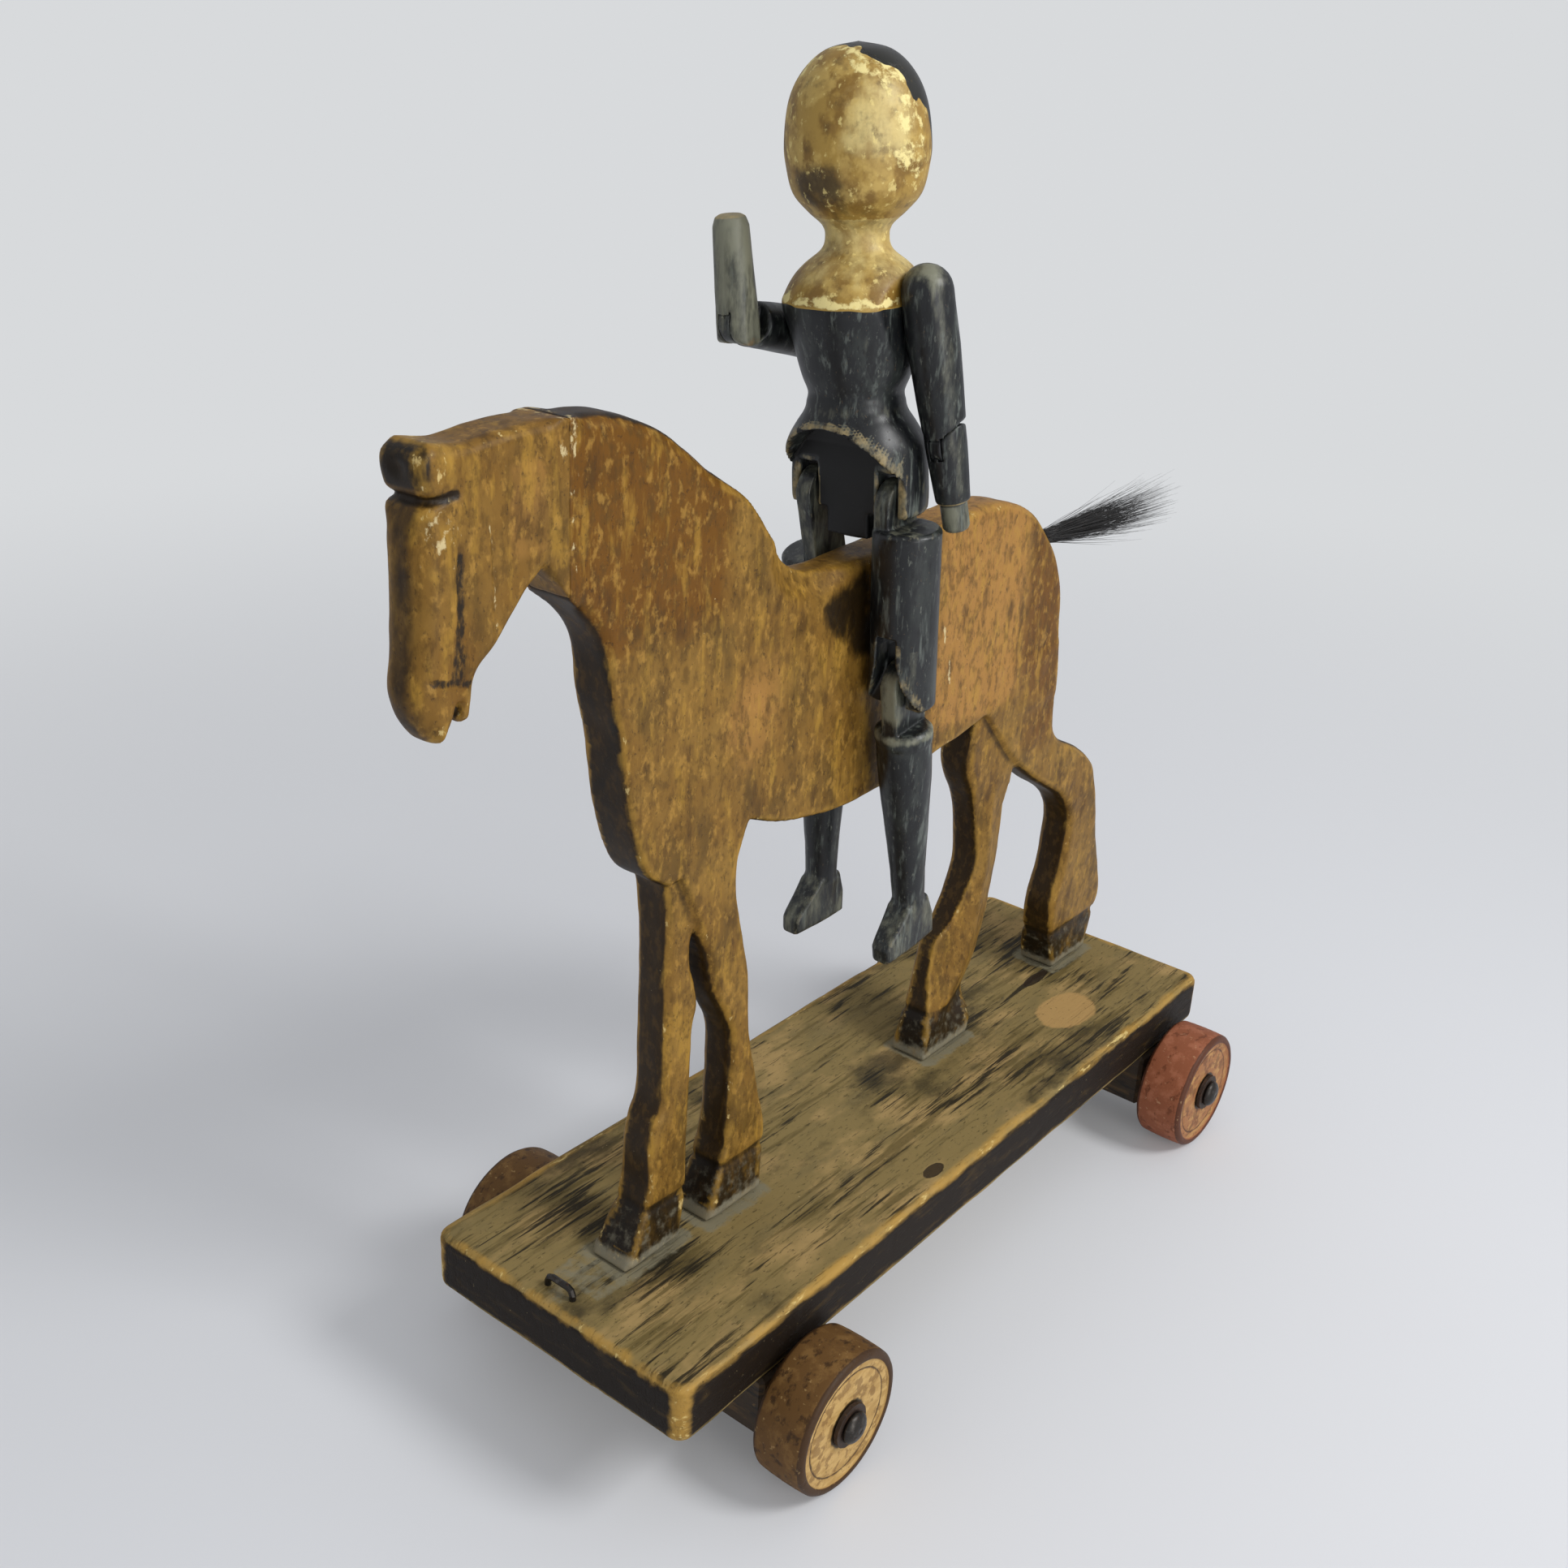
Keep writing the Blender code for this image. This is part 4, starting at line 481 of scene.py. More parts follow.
def sawn(flat: np.ndarray, across: np.ndarray, half: np.ndarray | float,
         edge: np.ndarray | float) -> np.ndarray:
    """Give a flat outline its thickness, with both arrises rounded.

    The round is the length of the part of (distance + edge, |across| - half + edge) that is
    above zero, less the edge's radius.
    """
    u = flat + edge
    v = np.abs(across) - half + edge
    outer = np.hypot(np.maximum(u, 0), np.maximum(v, 0))
    return np.minimum(np.maximum(u, v), 0) + outer - edge


def block_field(spot: Spot, low: Point, high: Point, edge: float) -> np.ndarray:
    """Work out the distance to a box whose edges are rounded."""
    reach = [np.abs(c - (a + b) / 2) - (b - a) / 2 + edge for c, a, b in zip(spot, low, high)]
    outer = np.sqrt(sum(np.maximum(r, 0) ** 2 for r in reach))
    return outer + np.minimum(np.maximum(np.maximum(*reach[:2]), reach[2]), 0) - edge


def joined(a: np.ndarray, b: np.ndarray, round_by: float) -> np.ndarray:
    """Join two fields with a fillet: the lesser one, blended where they come close."""
    share = np.clip(0.5 + 0.5 * (b - a) / round_by, 0, 1)
    return b + (a - b) * share - round_by * share * (1 - share)


def cut(a: np.ndarray, b: np.ndarray, round_by: float) -> np.ndarray:
    """Cut field b out of field a, with its edge rubbed round."""
    return -joined(-a, b, round_by)


def rough_noise(spot: Spot, size: float, seed: int) -> np.ndarray:
    """Work out a smooth noise between -1 and 1: random lattice values, smoothly interpolated.

    Args:
        spot: Coordinates in millimetres.
        size: Distance between lattice points.
        seed: Seed of the lattice.

    Returns:
        The noise in the shape of the coordinates.
    """
    full = np.broadcast_arrays(*spot)
    cells = [np.floor(c / size).astype(np.int32) for c in full]
    lows = [int(c.min()) for c in cells]
    shape = [int(c.max()) - low + 2 for c, low in zip(cells, lows)]
    lattice = np.random.default_rng(seed).uniform(-1, 1, shape).astype(np.float32)
    part = [c / size - k for c, k in zip(full, cells)]
    part = [p * p * (3 - 2 * p) for p in part]
    i, j, k = [c - low for c, low in zip(cells, lows)]
    total = np.zeros(full[0].shape, np.float32)
    for corner in range(8):
        a, b, c = corner & 1, corner >> 1 & 1, corner >> 2
        weight = ((part[0] if a else 1 - part[0]) * (part[1] if b else 1 - part[1])
                  * (part[2] if c else 1 - part[2]))
        total += (weight * lattice[i + a, j + b, k + c]).astype(np.float32)
    return total


def between(value: np.ndarray, low: float, high: float) -> np.ndarray:
    """Rise smoothly from 0 at low to 1 at high."""
    t = np.clip((value - low) / (high - low), 0, 1)
    return t * t * (3 - 2 * t)


def fading(value: np.ndarray, low: float, high: float) -> np.ndarray:
    """Fall smoothly from 1 at low to 0 at high."""
    return 1 - between(value, low, high)


def hump(value: np.ndarray, centre: float, width: float) -> np.ndarray:
    """Rise to 1 at the centre and fall off on both sides, in a bell curve."""
    return np.exp(-((value - centre) / width) ** 2)


def most(*values: np.ndarray) -> np.ndarray:
    """Return the greatest of several arrays at each point."""
    return reduce(np.maximum, values)


def turning(axis: str, degrees: float) -> np.ndarray:
    """Return the 4 by 4 matrix of a turn about an axis."""
    return np.array(Matrix.Rotation(math.radians(degrees), 4, axis))


def shift(x: float, y: float, z: float) -> np.ndarray:
    """Return the 4 by 4 matrix of a move in millimetres."""
    return np.array(Matrix.Translation((x, y, z)))


def mesh_object(name: str, spots: np.ndarray, faces: np.ndarray, frame: np.ndarray,
                marks: Marks | None = None) -> bpy.types.Object:
    """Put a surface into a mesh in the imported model's frame.

    Args:
        name: The piece's name.
        spots: Vertices in millimetres in the piece's own frame.
        faces: Triangles or quads, as rows of vertex numbers.
        frame: The piece's frame in the toy's frame.
        marks: Values on the vertices that the finishes read.

    Returns:
        The piece, smooth-shaded, with its object at the origin.
    """
    placed = (spots @ frame[:3, :3].T + frame[:3, 3] + TOY_ORIGIN) * MM
    mesh = bpy.data.meshes.new(name)
    sides = faces.shape[1]
    mesh.vertices.add(len(placed))
    mesh.vertices.foreach_set("co", placed.astype(np.float32).ravel())
    mesh.loops.add(faces.size)
    mesh.loops.foreach_set("vertex_index", faces.astype(np.int32).ravel())
    mesh.polygons.add(len(faces))
    mesh.polygons.foreach_set("loop_start", np.arange(0, faces.size, sides, dtype=np.int32))
    mesh.polygons.foreach_set("use_smooth", np.ones(len(faces), bool))
    for key, values in (marks or {}).items():
        layer = mesh.attributes.new(key, "FLOAT", "POINT")
        layer.data.foreach_set("value", np.asarray(values, np.float32).ravel())
    mesh.update(calc_edges=True)
    mesh.validate()
    made = bpy.data.objects.new(name, mesh)
    bpy.context.scene.collection.objects.link(made)
    return made


def dress(piece: bpy.types.Object, finish: Finish, slot: Slot, body: str,
          *nodes: str) -> bpy.types.Object:
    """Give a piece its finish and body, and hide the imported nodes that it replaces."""
    piece.data.materials.append(finish.material())
    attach(piece, body)
    if nodes:
        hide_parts(*nodes)
    LOG.info("%s: %d faces", piece.name, len(piece.data.polygons))
    return piece


@dataclass
class Carving:
    """A carved surface: where a signed distance in millimetres is zero.

    The distance is sampled on a lattice. Each lattice cell that the surface crosses gets one
    vertex, at the mean of its edges' crossings, and each crossed lattice edge one quad.
    """

    name: str
    low: Point
    high: Point
    pitch: float
    frame: np.ndarray = field(default_factory=lambda: np.eye(4))
    reach: float = 0.9

    def lattice(self) -> Spot:
        """Return the lattice's coordinates, each along its own axis."""
        lines = [np.arange(a, b + self.pitch, self.pitch, dtype=np.float32)
                 for a, b in zip(self.low, self.high)]
        return tuple(np.meshgrid(*lines, indexing="ij", sparse=True))

    def build(self, distance: Callable[[Spot], np.ndarray],
              painted: Callable[[Spot, Marks], Marks]) -> bpy.types.Object:
        """Mesh the surface.

        Args:
            distance: The signed distance on the lattice.
            painted: Works out the marks of the vertices, from their coordinates, from
                "bend" (above zero on an arris) and from the normal's "nx", "ny" and "nz".

        Returns:
            The piece.
        """
        values = np.ascontiguousarray(distance(self.lattice()), np.float32)
        cells, spots, faces = self.net(values)
        marks = self.curvature(values, cells)
        place = tuple(spots.T)
        return mesh_object(self.name, spots, faces, self.frame, painted(place, marks))

    def net(self, values: np.ndarray) -> tuple[np.ndarray, np.ndarray, np.ndarray]:
        """Return the crossed cells, their vertices and the quads between them."""
        inside = values < 0
        core = [slice(0, -1), slice(1, None)]
        corners = [(a, b, c) for a in (0, 1) for b in (0, 1) for c in (0, 1)]
        filled = sum(inside[core[a], core[b], core[c]].astype(np.int8) for a, b, c in corners)
        crossed = (filled > 0) & (filled < 8)
        cells = np.argwhere(crossed)
        number = np.full(crossed.shape, -1, np.int32)
        number[tuple(cells.T)] = np.arange(len(cells))
        level = {c: values[cells[:, 0] + c[0], cells[:, 1] + c[1], cells[:, 2] + c[2]]
                 for c in corners}
        total = np.zeros((len(cells), 3))
        count = np.zeros(len(cells))
        for start in corners:
            for axis in range(3):
                if start[axis]:
                    continue
                end = tuple(1 if n == axis else start[n] for n in range(3))
                a, b = level[start], level[end]
                cross = (a < 0) != (b < 0)
                part = np.where(cross, a / np.where(cross, a - b, 1), 0)
                total += cross[:, None] * np.array(start, float)
                total[:, axis] += cross * part
                count += cross
        spots = np.array(self.low) + self.pitch * (cells + total / count[:, None])
        faces = []
        for axis in range(3):
            ahead, behind = [slice(None)] * 3, [slice(None)] * 3
            ahead[axis], behind[axis] = slice(1, None), slice(0, -1)
            change = inside[tuple(behind)].astype(np.int8) - inside[tuple(ahead)]
            edges = np.argwhere(change)
            sign = change[tuple(edges.T)]
            u, v = (axis + 1) % 3, (axis + 2) % 3
            ring = []
            for back_u, back_v in ((1, 1), (0, 1), (0, 0), (1, 0)):
                cell = edges.copy()
                cell[:, u] -= back_u
                cell[:, v] -= back_v
                ring.append(number[tuple(cell.T)])
            quads = np.stack(ring, 1)
            quads[sign < 0] = quads[sign < 0][:, ::-1]
            faces.append(quads)
        return cells, spots, np.concatenate(faces)

    def curvature(self, values: np.ndarray, cells: np.ndarray) -> Marks:
        """Work out how sharply the surface bends at each vertex, and its normal.

        The bend is the sum of the second differences of the distance after a blur over the
        reach: above zero on an arris, below zero in a hollow.
        """
        reach = max(1, round(self.reach / self.pitch))
        soft = values
        for axis in range(3):
            soft = sum(np.roll(soft, k, axis) for k in range(-reach, reach + 1)) / (2 * reach + 1)
        limit = np.array(values.shape) - 1
        step = reach + 1

        def level(dx: int, dy: int, dz: int) -> np.ndarray:
            """Read the blurred distance beside each cell."""
            at = np.clip(cells + np.array([dx, dy, dz]), 0, limit)
            return soft[tuple(at.T)]

        near = [(level(step, 0, 0), level(-step, 0, 0)), (level(0, step, 0), level(0, -step, 0)),
                (level(0, 0, step), level(0, 0, -step))]
        bend = (sum(a + b for a, b in near) - 6 * level(0, 0, 0)) / (step * self.pitch) ** 2
        normal = np.stack([a - b for a, b in near])
        normal /= np.maximum(np.linalg.norm(normal, axis=0), 1e-6)
        return {"bend": bend, "nx": normal[0], "ny": normal[1], "nz": normal[2]}


def arris(marks: Marks, sharp: float, most: float) -> np.ndarray:
    """Return how much of an arris each vertex lies on, where a bend of sharp counts as 1."""
    return np.clip(marks["bend"] / sharp, 0, most)


def kept(marks: Marks, **more: np.ndarray) -> Marks:
    """Return the marks that finishes read, with wear and hollow taken from the bend."""
    base = {"wear": arris(marks, 0.55, 1.2),
            "hollow": np.clip(-marks["bend"] / 0.55, 0, 1.2)}
    base.update(more)
    return base


# ---------------------------------------------------------------- the horse


@dataclass
class Horse:
    """The plank horse: body with its four legs, and head board."""

    half: float = 6.25
    leg_inset: float = 1.75
    pitch: float = 0.85
    hoof: float = 13.0
    hind_lean: float = 3.3
    body_outline: list = field(default_factory=lambda: [
        [(119.8, 199.8), (112, 199.4), (105, 198.3), (96.2, 195), (89.4, 191.2), (80, 184.5),
         (68.9, 177.2), (61.5, 168.8), (55.5, 162.2), (50, 158.3), (44, 156.6), (35, 156.4),
         (19, 156.8), (5, 158.2), (-14, 159.9), (-28, 160.1), (-37.3, 158.5), (-46.4, 154.6),
         (-53.7, 148.6), (-60, 141.5), (-63.8, 134), (-65.4, 128), (-66.5, 118), (-68.2, 105.4)],
        [(-68.8, 99), (-52, 97)],
        [(-31.8, 102), (-23.1, 100.2), (-13.5, 98.9), (-4.5, 97.5), (19.5, 95.8), (31.5, 95.8),
         (43.2, 97.3), (54.4, 99.8)], [(65.2, 103.8), (78, 99)],
        [(90.8, 96.5), (96.6, 100.7), (100, 106.8), (102.4, 114.5), (104.5, 125.4),
         (105.6, 133.5), (107.8, 142.4), (109.4, 152.2), (112.8, 158.9)], [(119.8, 166.6)]])
    left_fore: list = field(default_factory=lambda: [
        [(88.6, 99.4), (84.9, 91.6), (80.9, 82.2), (77.5, 73.4), (74.6, 62.8), (71.2, 56.1),
         (68.2, 49.3), (67.9, 37.9), (68.8, 20.5), (70.1, 15.7)], [(75.8, 0.3)],
        [(56, 0.3), (54, 17.2), (56.8, 32.5), (60.5, 47.3), (61.7, 62.9), (64.5, 75.7),
         (67.4, 87.8), (67.2, 96.5)], [(64.4, 104.2)], [(64.4, 122)], [(88.6, 122)]])
    left_hind: list = field(default_factory=lambda: [
        [(-31.8, 102.4), (-38.1, 95.5), (-45.9, 86.6), (-51, 82.2), (-54.9, 79.5), (-65, 72.5),
         (-78, 64.5), (-85.4, 56), (-87.3, 47.5), (-87, 36), (-85, 24.5), (-87.2, 13)],
        [(-91, 0.3)],
        [(-111, 0.3), (-114, 10), (-117, 18), (-115, 27), (-108, 43), (-102, 60), (-97.5, 69.5),
         (-87.6, 77.2), (-75.5, 83.5), (-70.1, 89.3), (-68.9, 97)], [(-68.2, 105.4)],
        [(-66.6, 116)], [(-31.8, 116)]])
    right_fore: list = field(default_factory=lambda: [
        [(90.6, 97), (89.5, 90), (89.4, 70), (89.5, 52), (90, 39.8), (92.1, 35.5), (93.7, 28.6),
         (94.3, 15.8)], [(102.2, 0.3)],
        [(83.5, 0.3), (81.2, 11.7), (80, 25.3), (79.5, 42.5), (78.9, 56.1), (77.7, 61.4),
         (78.5, 67.3), (80.5, 75), (79, 86), (74, 97)], [(70, 108)], [(70, 120)], [(90.6, 120)]])
    right_hind: list = field(default_factory=lambda: [
        [(-30.6, 102.2), (-28.6, 94), (-28.9, 85.6), (-34.9, 74.3), (-38, 62.3), (-38.2, 53.4),
         (-34.9, 45.6), (-31, 38.8), (-25.8, 33), (-22.9, 18.9), (-21, 12)], [(-18.5, 0.3)],
        [(-41, 0.3), (-46.8, 19.8), (-50.2, 30.4), (-52.6, 38.8), (-54.1, 52.3), (-54.6, 63.6),
         (-52.9, 75.3), (-54.5, 84), (-61, 93)], [(-68, 101)], [(-66.8, 115)], [(-30.6, 115)]])
    head_outline: list = field(default_factory=lambda: [
        [(119.5, 199.8), (128, 199.8), (136.3, 199.1), (143.1, 198.3)],
        [(150, 199.2), (152.6, 197.2), (152.9, 194)],
        [(151.6, 189.6), (153.1, 184.7), (153.6, 170.7), (154.2, 162.2), (155.2, 155.4),
         (153.6, 150.1), (150.6, 146.2)], [(147.9, 145.2), (146.5, 147.8)],
        [(145, 148.6), (142.9, 149.2), (142.2, 152.3), (141.1, 157.3), (136.4, 161.5),
         (131.9, 166.2), (128.3, 170.4)], [(125.3, 173), (122.4, 170.2)], [(119.5, 166.4)]])

    def build(self) -> None:
        """Carve the body and the head."""
        body = Carving("horse_plank", (-121, -10.2, -1.0), (123, 9.4, 202), self.pitch)
        dress(body.build(self.body_field, self.body_marks), HORSE_PAINT, Slot.HORSE,
              "horse_and_board", "horse_body")
        head = Carving("horse_head_board", (118.8, -7.6, 143.5), (157, 7.6, 202), 0.5)
        dress(head.build(self.head_field, self.head_marks), HORSE_PAINT, Slot.HORSE,
              "horse_and_board", "horse_head")

    def leg(self, spot: Spot, stretches: list, centre: float, lean: float) -> np.ndarray:
        """Carve one leg: a sawn slab with broad arrises, a flared hoof and a leaning foot."""
        _, y, z = spot
        flat = held(spot, outline_distance, outline_of(stretches))
        across = y - centre + lean * np.maximum(0, 1 - z / 60)
        flare = 1.1 * np.maximum(0, 1 - z / self.hoof)
        edge = 1.5 + 1.5 * between(z, 12, 30) * fading(z, 80, 105)
        groove = 0.5 * np.exp(-((z - self.hoof) / 1.1) ** 2)
        half = self.half - self.leg_inset / 2 + flare
        return sawn(flat + groove, across, half - groove, edge)

    def body_field(self, spot: Spot) -> np.ndarray:
        """Join the body slab and the legs, dip the saddle and leave the tool's ripple."""
        x, y, z = spot
        flat = held(spot, outline_distance, outline_of(self.body_outline))
        saddle = hump(x, 41, 15.0) * between(z, 138, 146)
        crest = between(x, 66, 80) * between(z, 146, 160)
        rump = between(-x, 5, 30) * between(z, 120, 140)
        edge = 1.8 + 2.2 * saddle + 1.8 * crest + 0.8 * rump
        seam = between(x, 115.5, 118.5)
        shape = sawn(flat, y, self.half - 0.02, edge * (1 - seam) + 0.15 * seam)
        middle = self.leg_inset / 2
        for stretches, side, lean in (
                (self.left_fore, 1, 0.0), (self.left_hind, 1, self.hind_lean),
                (self.right_fore, -1, 0.0), (self.right_hind, -1, 0.0)):
            leg = self.leg(spot, stretches, side * middle, lean)
            if stretches is self.right_hind:
                leg = self.faceted(spot, leg)
            shape = joined(shape, leg, 0.9)
        scoop = np.sqrt(((x - 45) / 20) ** 2 + ((y - 12.2) / 10) ** 2 + ((z - 162.5) / 14) ** 2)
        shape = cut(shape, (scoop - 1) * 12, 0.8)
        ripple = 0.16 * rough_noise(spot, 9.0, 3) + 0.10 * rough_noise(spot, 3.4, 5)
        return shape + ripple + 0.1

    def faceted(self, spot: Spot, leg: np.ndarray) -> np.ndarray:
        """Plane the near face of the forward hind leg away on both sides of its ridge."""
        x, y, z = spot
        ridge = np.interp(z, [0, 10, 24, 34, 54, 70, 100], [-24, -25, -36, -39.4, -43, -43, -46])
        fall = between(z, 4, 14) * fading(z, 66, 84)
        plane = y - (self.half - self.leg_inset) + 0.34 * fall * np.maximum(
            np.abs(x - ridge) - 0.6, 0)
        return np.maximum(leg, plane)

    def body_marks(self, spot: Spot, marks: Marks) -> Marks:
        """Place the body's dark, tan, pale and dusty areas, painted shade on its edge faces and a
        painted shadow under the rider's thigh.
        """
        x, y, z = spot
        # side: the sawn edge faces, darkened as painted shade, less so on the top of the back
        side = between(1 - np.abs(marks["ny"]), 0.25, 0.75)
        side *= 1 - 0.75 * between(z, 130, 150) * fading(x, 60, 80)
        tan = most(between(-x, -6, 12) * between(z, 98, 108) * fading(-x, 36, 56),
                   0.8 * np.exp(-((x - 66) / 16) ** 2 - ((z - 128) / 20) ** 2))
        amber = most(between(-x, 34, 56) * between(z, 60, 120),
                     between(x, 62, 84) * between(z, 140, 165))
        # Painted shadow of the rider's left thigh on the near side, partly a dark saddle cloth
        shadow = outline_distance(x, z, np.array([(44.5, 149), (26, 158), (19, 128), (33, 134),
                                                  (42, 142)]))
        dark = most(0.95 * between(-shadow, -4, 5) * (y > 0), 0.85 * fading(z, 13.5, 15.5),
                    0.55 * between(z, 150, 170) * between(x, 70, 92)
                    * between(1 - np.abs(marks["ny"]), 0.1, 0.5),
                    # painted shade on the front faces of the breast
                    0.55 * side * between(x, 84, 96) * fading(z, 150, 175))
        chips = hump(x, 118.6, 1.2) * between(z, 166, 172)
        chips *= 0.42 + 0.34 * between(z, 188, 196)
        flank = path_distance(x, z, [(-6.9, 133.6), (-7.6, 128.6)])
        lower = path_distance(x, z, [(-10.7, 122.9), (-11.6, 116.6)])
        pale = most(chips, 0.7 * (y > 0) * fading(np.minimum(flank, lower), 0.3, 1.0))
        dust = most(fading(z, 1.2, 6.5), 0.46 * fading(z, 11, 15))
        wear = arris(marks, 0.55, 0.9) * fading(x, 115.5, 117.5)
        hollow = np.clip(-marks["bend"] / 0.55, 0, 1) * fading(x, 113, 116)
        return kept(marks, side=side, tan=tan, amber=amber, dark=dark, pale=pale, dust=dust,
                    wear=wear, hollow=hollow)

    def head_field(self, spot: Spot) -> np.ndarray:
        """Carve the head: thinned muzzle, ear block, notch under the ear, mouth and cheek."""
        x, y, z = spot
        flat = held(spot, outline_distance, outline_of(self.head_outline))
        seam = fading(x, 120.6, 124.5)
        edge = (2.8 + 2.2 * between(x, 145, 152) * fading(z, 184, 189)) * (1 - seam)
        edge += 0.15 * seam
        muzzle = fading(z, 150, 168) * 0.5
        half = self.half - 0.05 - muzzle
        jaw = held(spot, path_distance, [(139.0, 196.0), (138.5, 190.5), (138.3, 184.9),
                                         (137.3, 176.2), (136.9, 163.5)])
        behind = between(138.2 - x, -0.5, 0.8) * fading(138.2 - x, 6, 13)
        half = half - 0.45 * behind * between(z, 160, 166) * fading(z, 194, 198)
        half = half - 0.25 * hump(jaw, 0, 0.6)
        shape = sawn(flat, y, half, edge)
        notch = held(spot, path_distance, [(153.5, 189.2), (150, 189.6), (145.5, 190.2)])
        shape = shape + 0.8 * hump(notch, 0, 0.9) * between(np.abs(y), 1.5, 5.5)
        front = hump(z, 189.6, 0.9) * between(x, 147, 150)
        shape = shape + 0.7 * front
        hollow = np.sqrt((x - 154.6) ** 2 + (y * 0.8) ** 2 + ((z - 194.6) * 0.9) ** 2) - 2.2
        shape = cut(shape, hollow, 0.7)
        strap = held(spot, path_distance, [(145.3, 181), (145.6, 169.2), (146.2, 157.6)])
        shape = shape + 0.35 * hump(strap, 0, 0.5) * between(np.abs(y), 4.0, 5.5)
        bit = held(spot, path_distance, [(151.9, 158.3), (143.4, 156.2)])
        shape = shape + 0.3 * hump(bit, 0, 0.45) * between(np.abs(y), 3.5, 5.5)
        mouth = held(spot, path_distance, [(147.6, 143.8), (146.7, 147.8), (145.6, 152.2)])
        shape = shape + 2.2 * hump(mouth, 0, 0.95)
        return shape + 0.12 * rough_noise(spot, 7.0, 11) + 0.08 * rough_noise(spot, 2.6, 12) + 0.06

    def head_marks(self, spot: Spot, marks: Marks) -> Marks:
        """Place the head's painted lines, the pale worn eye area, the dark muzzle, painted shade
        on its edge faces and in the notch under the ear.
        """
        x, y, z = spot
        # side: the head's edge faces, darkened as painted shade
        side = between(1 - np.abs(marks["ny"]), 0.25, 0.95) * between(x, 138, 152) * 0.62
        strap = path_distance(x, z, [(145.3, 179.5), (145.6, 169.2), (146.2, 158.4)])
        bit = path_distance(x, z, [(151.6, 158.3), (143.6, 156.4)])
        broad = 0.35 + 0.75 * fading(z, 158, 170)
        line = 0.9 * fading(np.minimum(strap - broad, bit - 0.3), 0.0, 1.3)
        line *= between(np.abs(y), 3.2, 4.6)
        eye = outline_distance(x, z, np.array([(153.5, 191), (145, 189.5), (143, 177),
                                               (147, 176), (153.5, 180)]))
        streak = path_distance(x, z, [(138.3, 184.9), (137.3, 176.2), (136.9, 165)])
        pale = most(0.52 * between(-eye, -4.0, 4.0) * between(np.abs(y), 2.5, 5.0),
                    hump(x, 121.2, 1.0) * 0.66 * between(z, 184, 194),
                    0.55 * fading(streak, 0.2, 0.9))
        notch = path_distance(x, z, [(153.5, 189.2), (150, 189.6), (145.5, 190.2)])
        dark = most(0.62 * fading(z, 149, 163) * between(x, 150.0, 153.5),
                    # the next two terms are painted shade in the carved notch under the ear
                    between(z, 190.5, 192) * between(x, 149.5, 151.5) * 0.9,
                    0.95 * fading(notch, 0.5, 1.6))
        mouth = path_distance(x, z, [(147.2, 144.8), (146.7, 147.8), (145.6, 151.6)])
        line = most(line, fading(mouth, 0.5, 1.1))
        tan = between(x, 121, 126) * fading(x, 132, 137) * between(z, 172, 178)
        tan *= fading(z, 192, 197)
        wear = most(arris(marks, 0.6, 1.0) * between(x, 122, 124),
                    0.95 * between(z, 190, 193) * between(x, 143, 147) * fading(x, 150.5, 152))
        return kept(marks, side=side, dark=dark, pale=pale, line=line, tan=tan * 0.6, wear=wear,
                    amber=0.35 + 0 * x)


@dataclass
class Tail:
    """The horsehair tail: loose hairs from a round tuft, fanned out and drooping."""

    root: Point = (-57.6, 1.0, 145.0)
    swing: float = 12.0
    rise: float = 3.0
    length: float = 53.0
    hairs: int = 620
    tuft: float = 1.7
    hair: float = 0.075
    steps: int = 9

    def build(self) -> None:
        """Grow the hairs: a closed four-sided tube along each, thinning to its tip.

        Each hair starts on a sunflower spiral in the tuft, and its offset from the tail's
        axis grows with its distance along it, plus a bend of its own.
        """
        rng = np.random.default_rng(4)
        count = np.arange(self.hairs)
        radius = self.tuft * np.sqrt((count + 0.5) / self.hairs)
        angle = count * math.pi * (3 - math.sqrt(5))
        start = np.stack([radius * np.cos(angle), radius * np.sin(angle)], 1)
        fan = start * rng.uniform(1.2, 4.6, (self.hairs, 1)) + rng.normal(0, 1.5, start.shape)
        reach = self.length * rng.uniform(0.45, 1.0, self.hairs)
        share = np.linspace(0, 1, self.steps)
        along = reach[:, None] * share
        off = start[:, None] + (fan - start)[:, None] * (share[:, None] ** 1.35)
        wave = rng.normal(0, 0.5, start.shape)
        off = off + wave[:, None] * np.sin(share[:, None] * math.pi)
        droop = 2.2 * (along / self.length) ** 2
        ring = np.arange(4) * math.pi / 2
        thick = self.hair * (1.02 - 0.85 * share)[None, :, None]
        u = off[..., 0][..., None] + droop[..., None] + thick * np.cos(ring)
        v = off[..., 1][..., None] + thick * np.sin(ring)
        w = np.broadcast_to(along[..., None], u.shape)
        spots = np.stack([u, v, w], -1).reshape(-1, 3)
        base = (count * self.steps * 4)[:, None, None]
        row = (np.arange(self.steps - 1) * 4)[None, :, None]
        side = np.arange(4)[None, None, :]
        after = (side + 1) % 4
        quads = np.stack([base + row + side, base + row + after, base + row + 4 + after,
                          base + row + 4 + side], -1).reshape(-1, 4)
        cap = base[:, :, 0] + np.array([3, 2, 1, 0])
        tip = base[:, :, 0] + (self.steps - 1) * 4 + np.arange(4)
        quads = np.concatenate([quads, cap, tip])
        frame = (shift(*self.root) @ turning("Z", -self.swing) @ turning("Y", -90 + self.rise))
        made = mesh_object("tail_horsehair", spots, quads, frame)
        dress(made, HORSEHAIR, Slot.HAIR, "horse_and_board", "tail_hair")


# ---------------------------------------------------------------- board and running gear


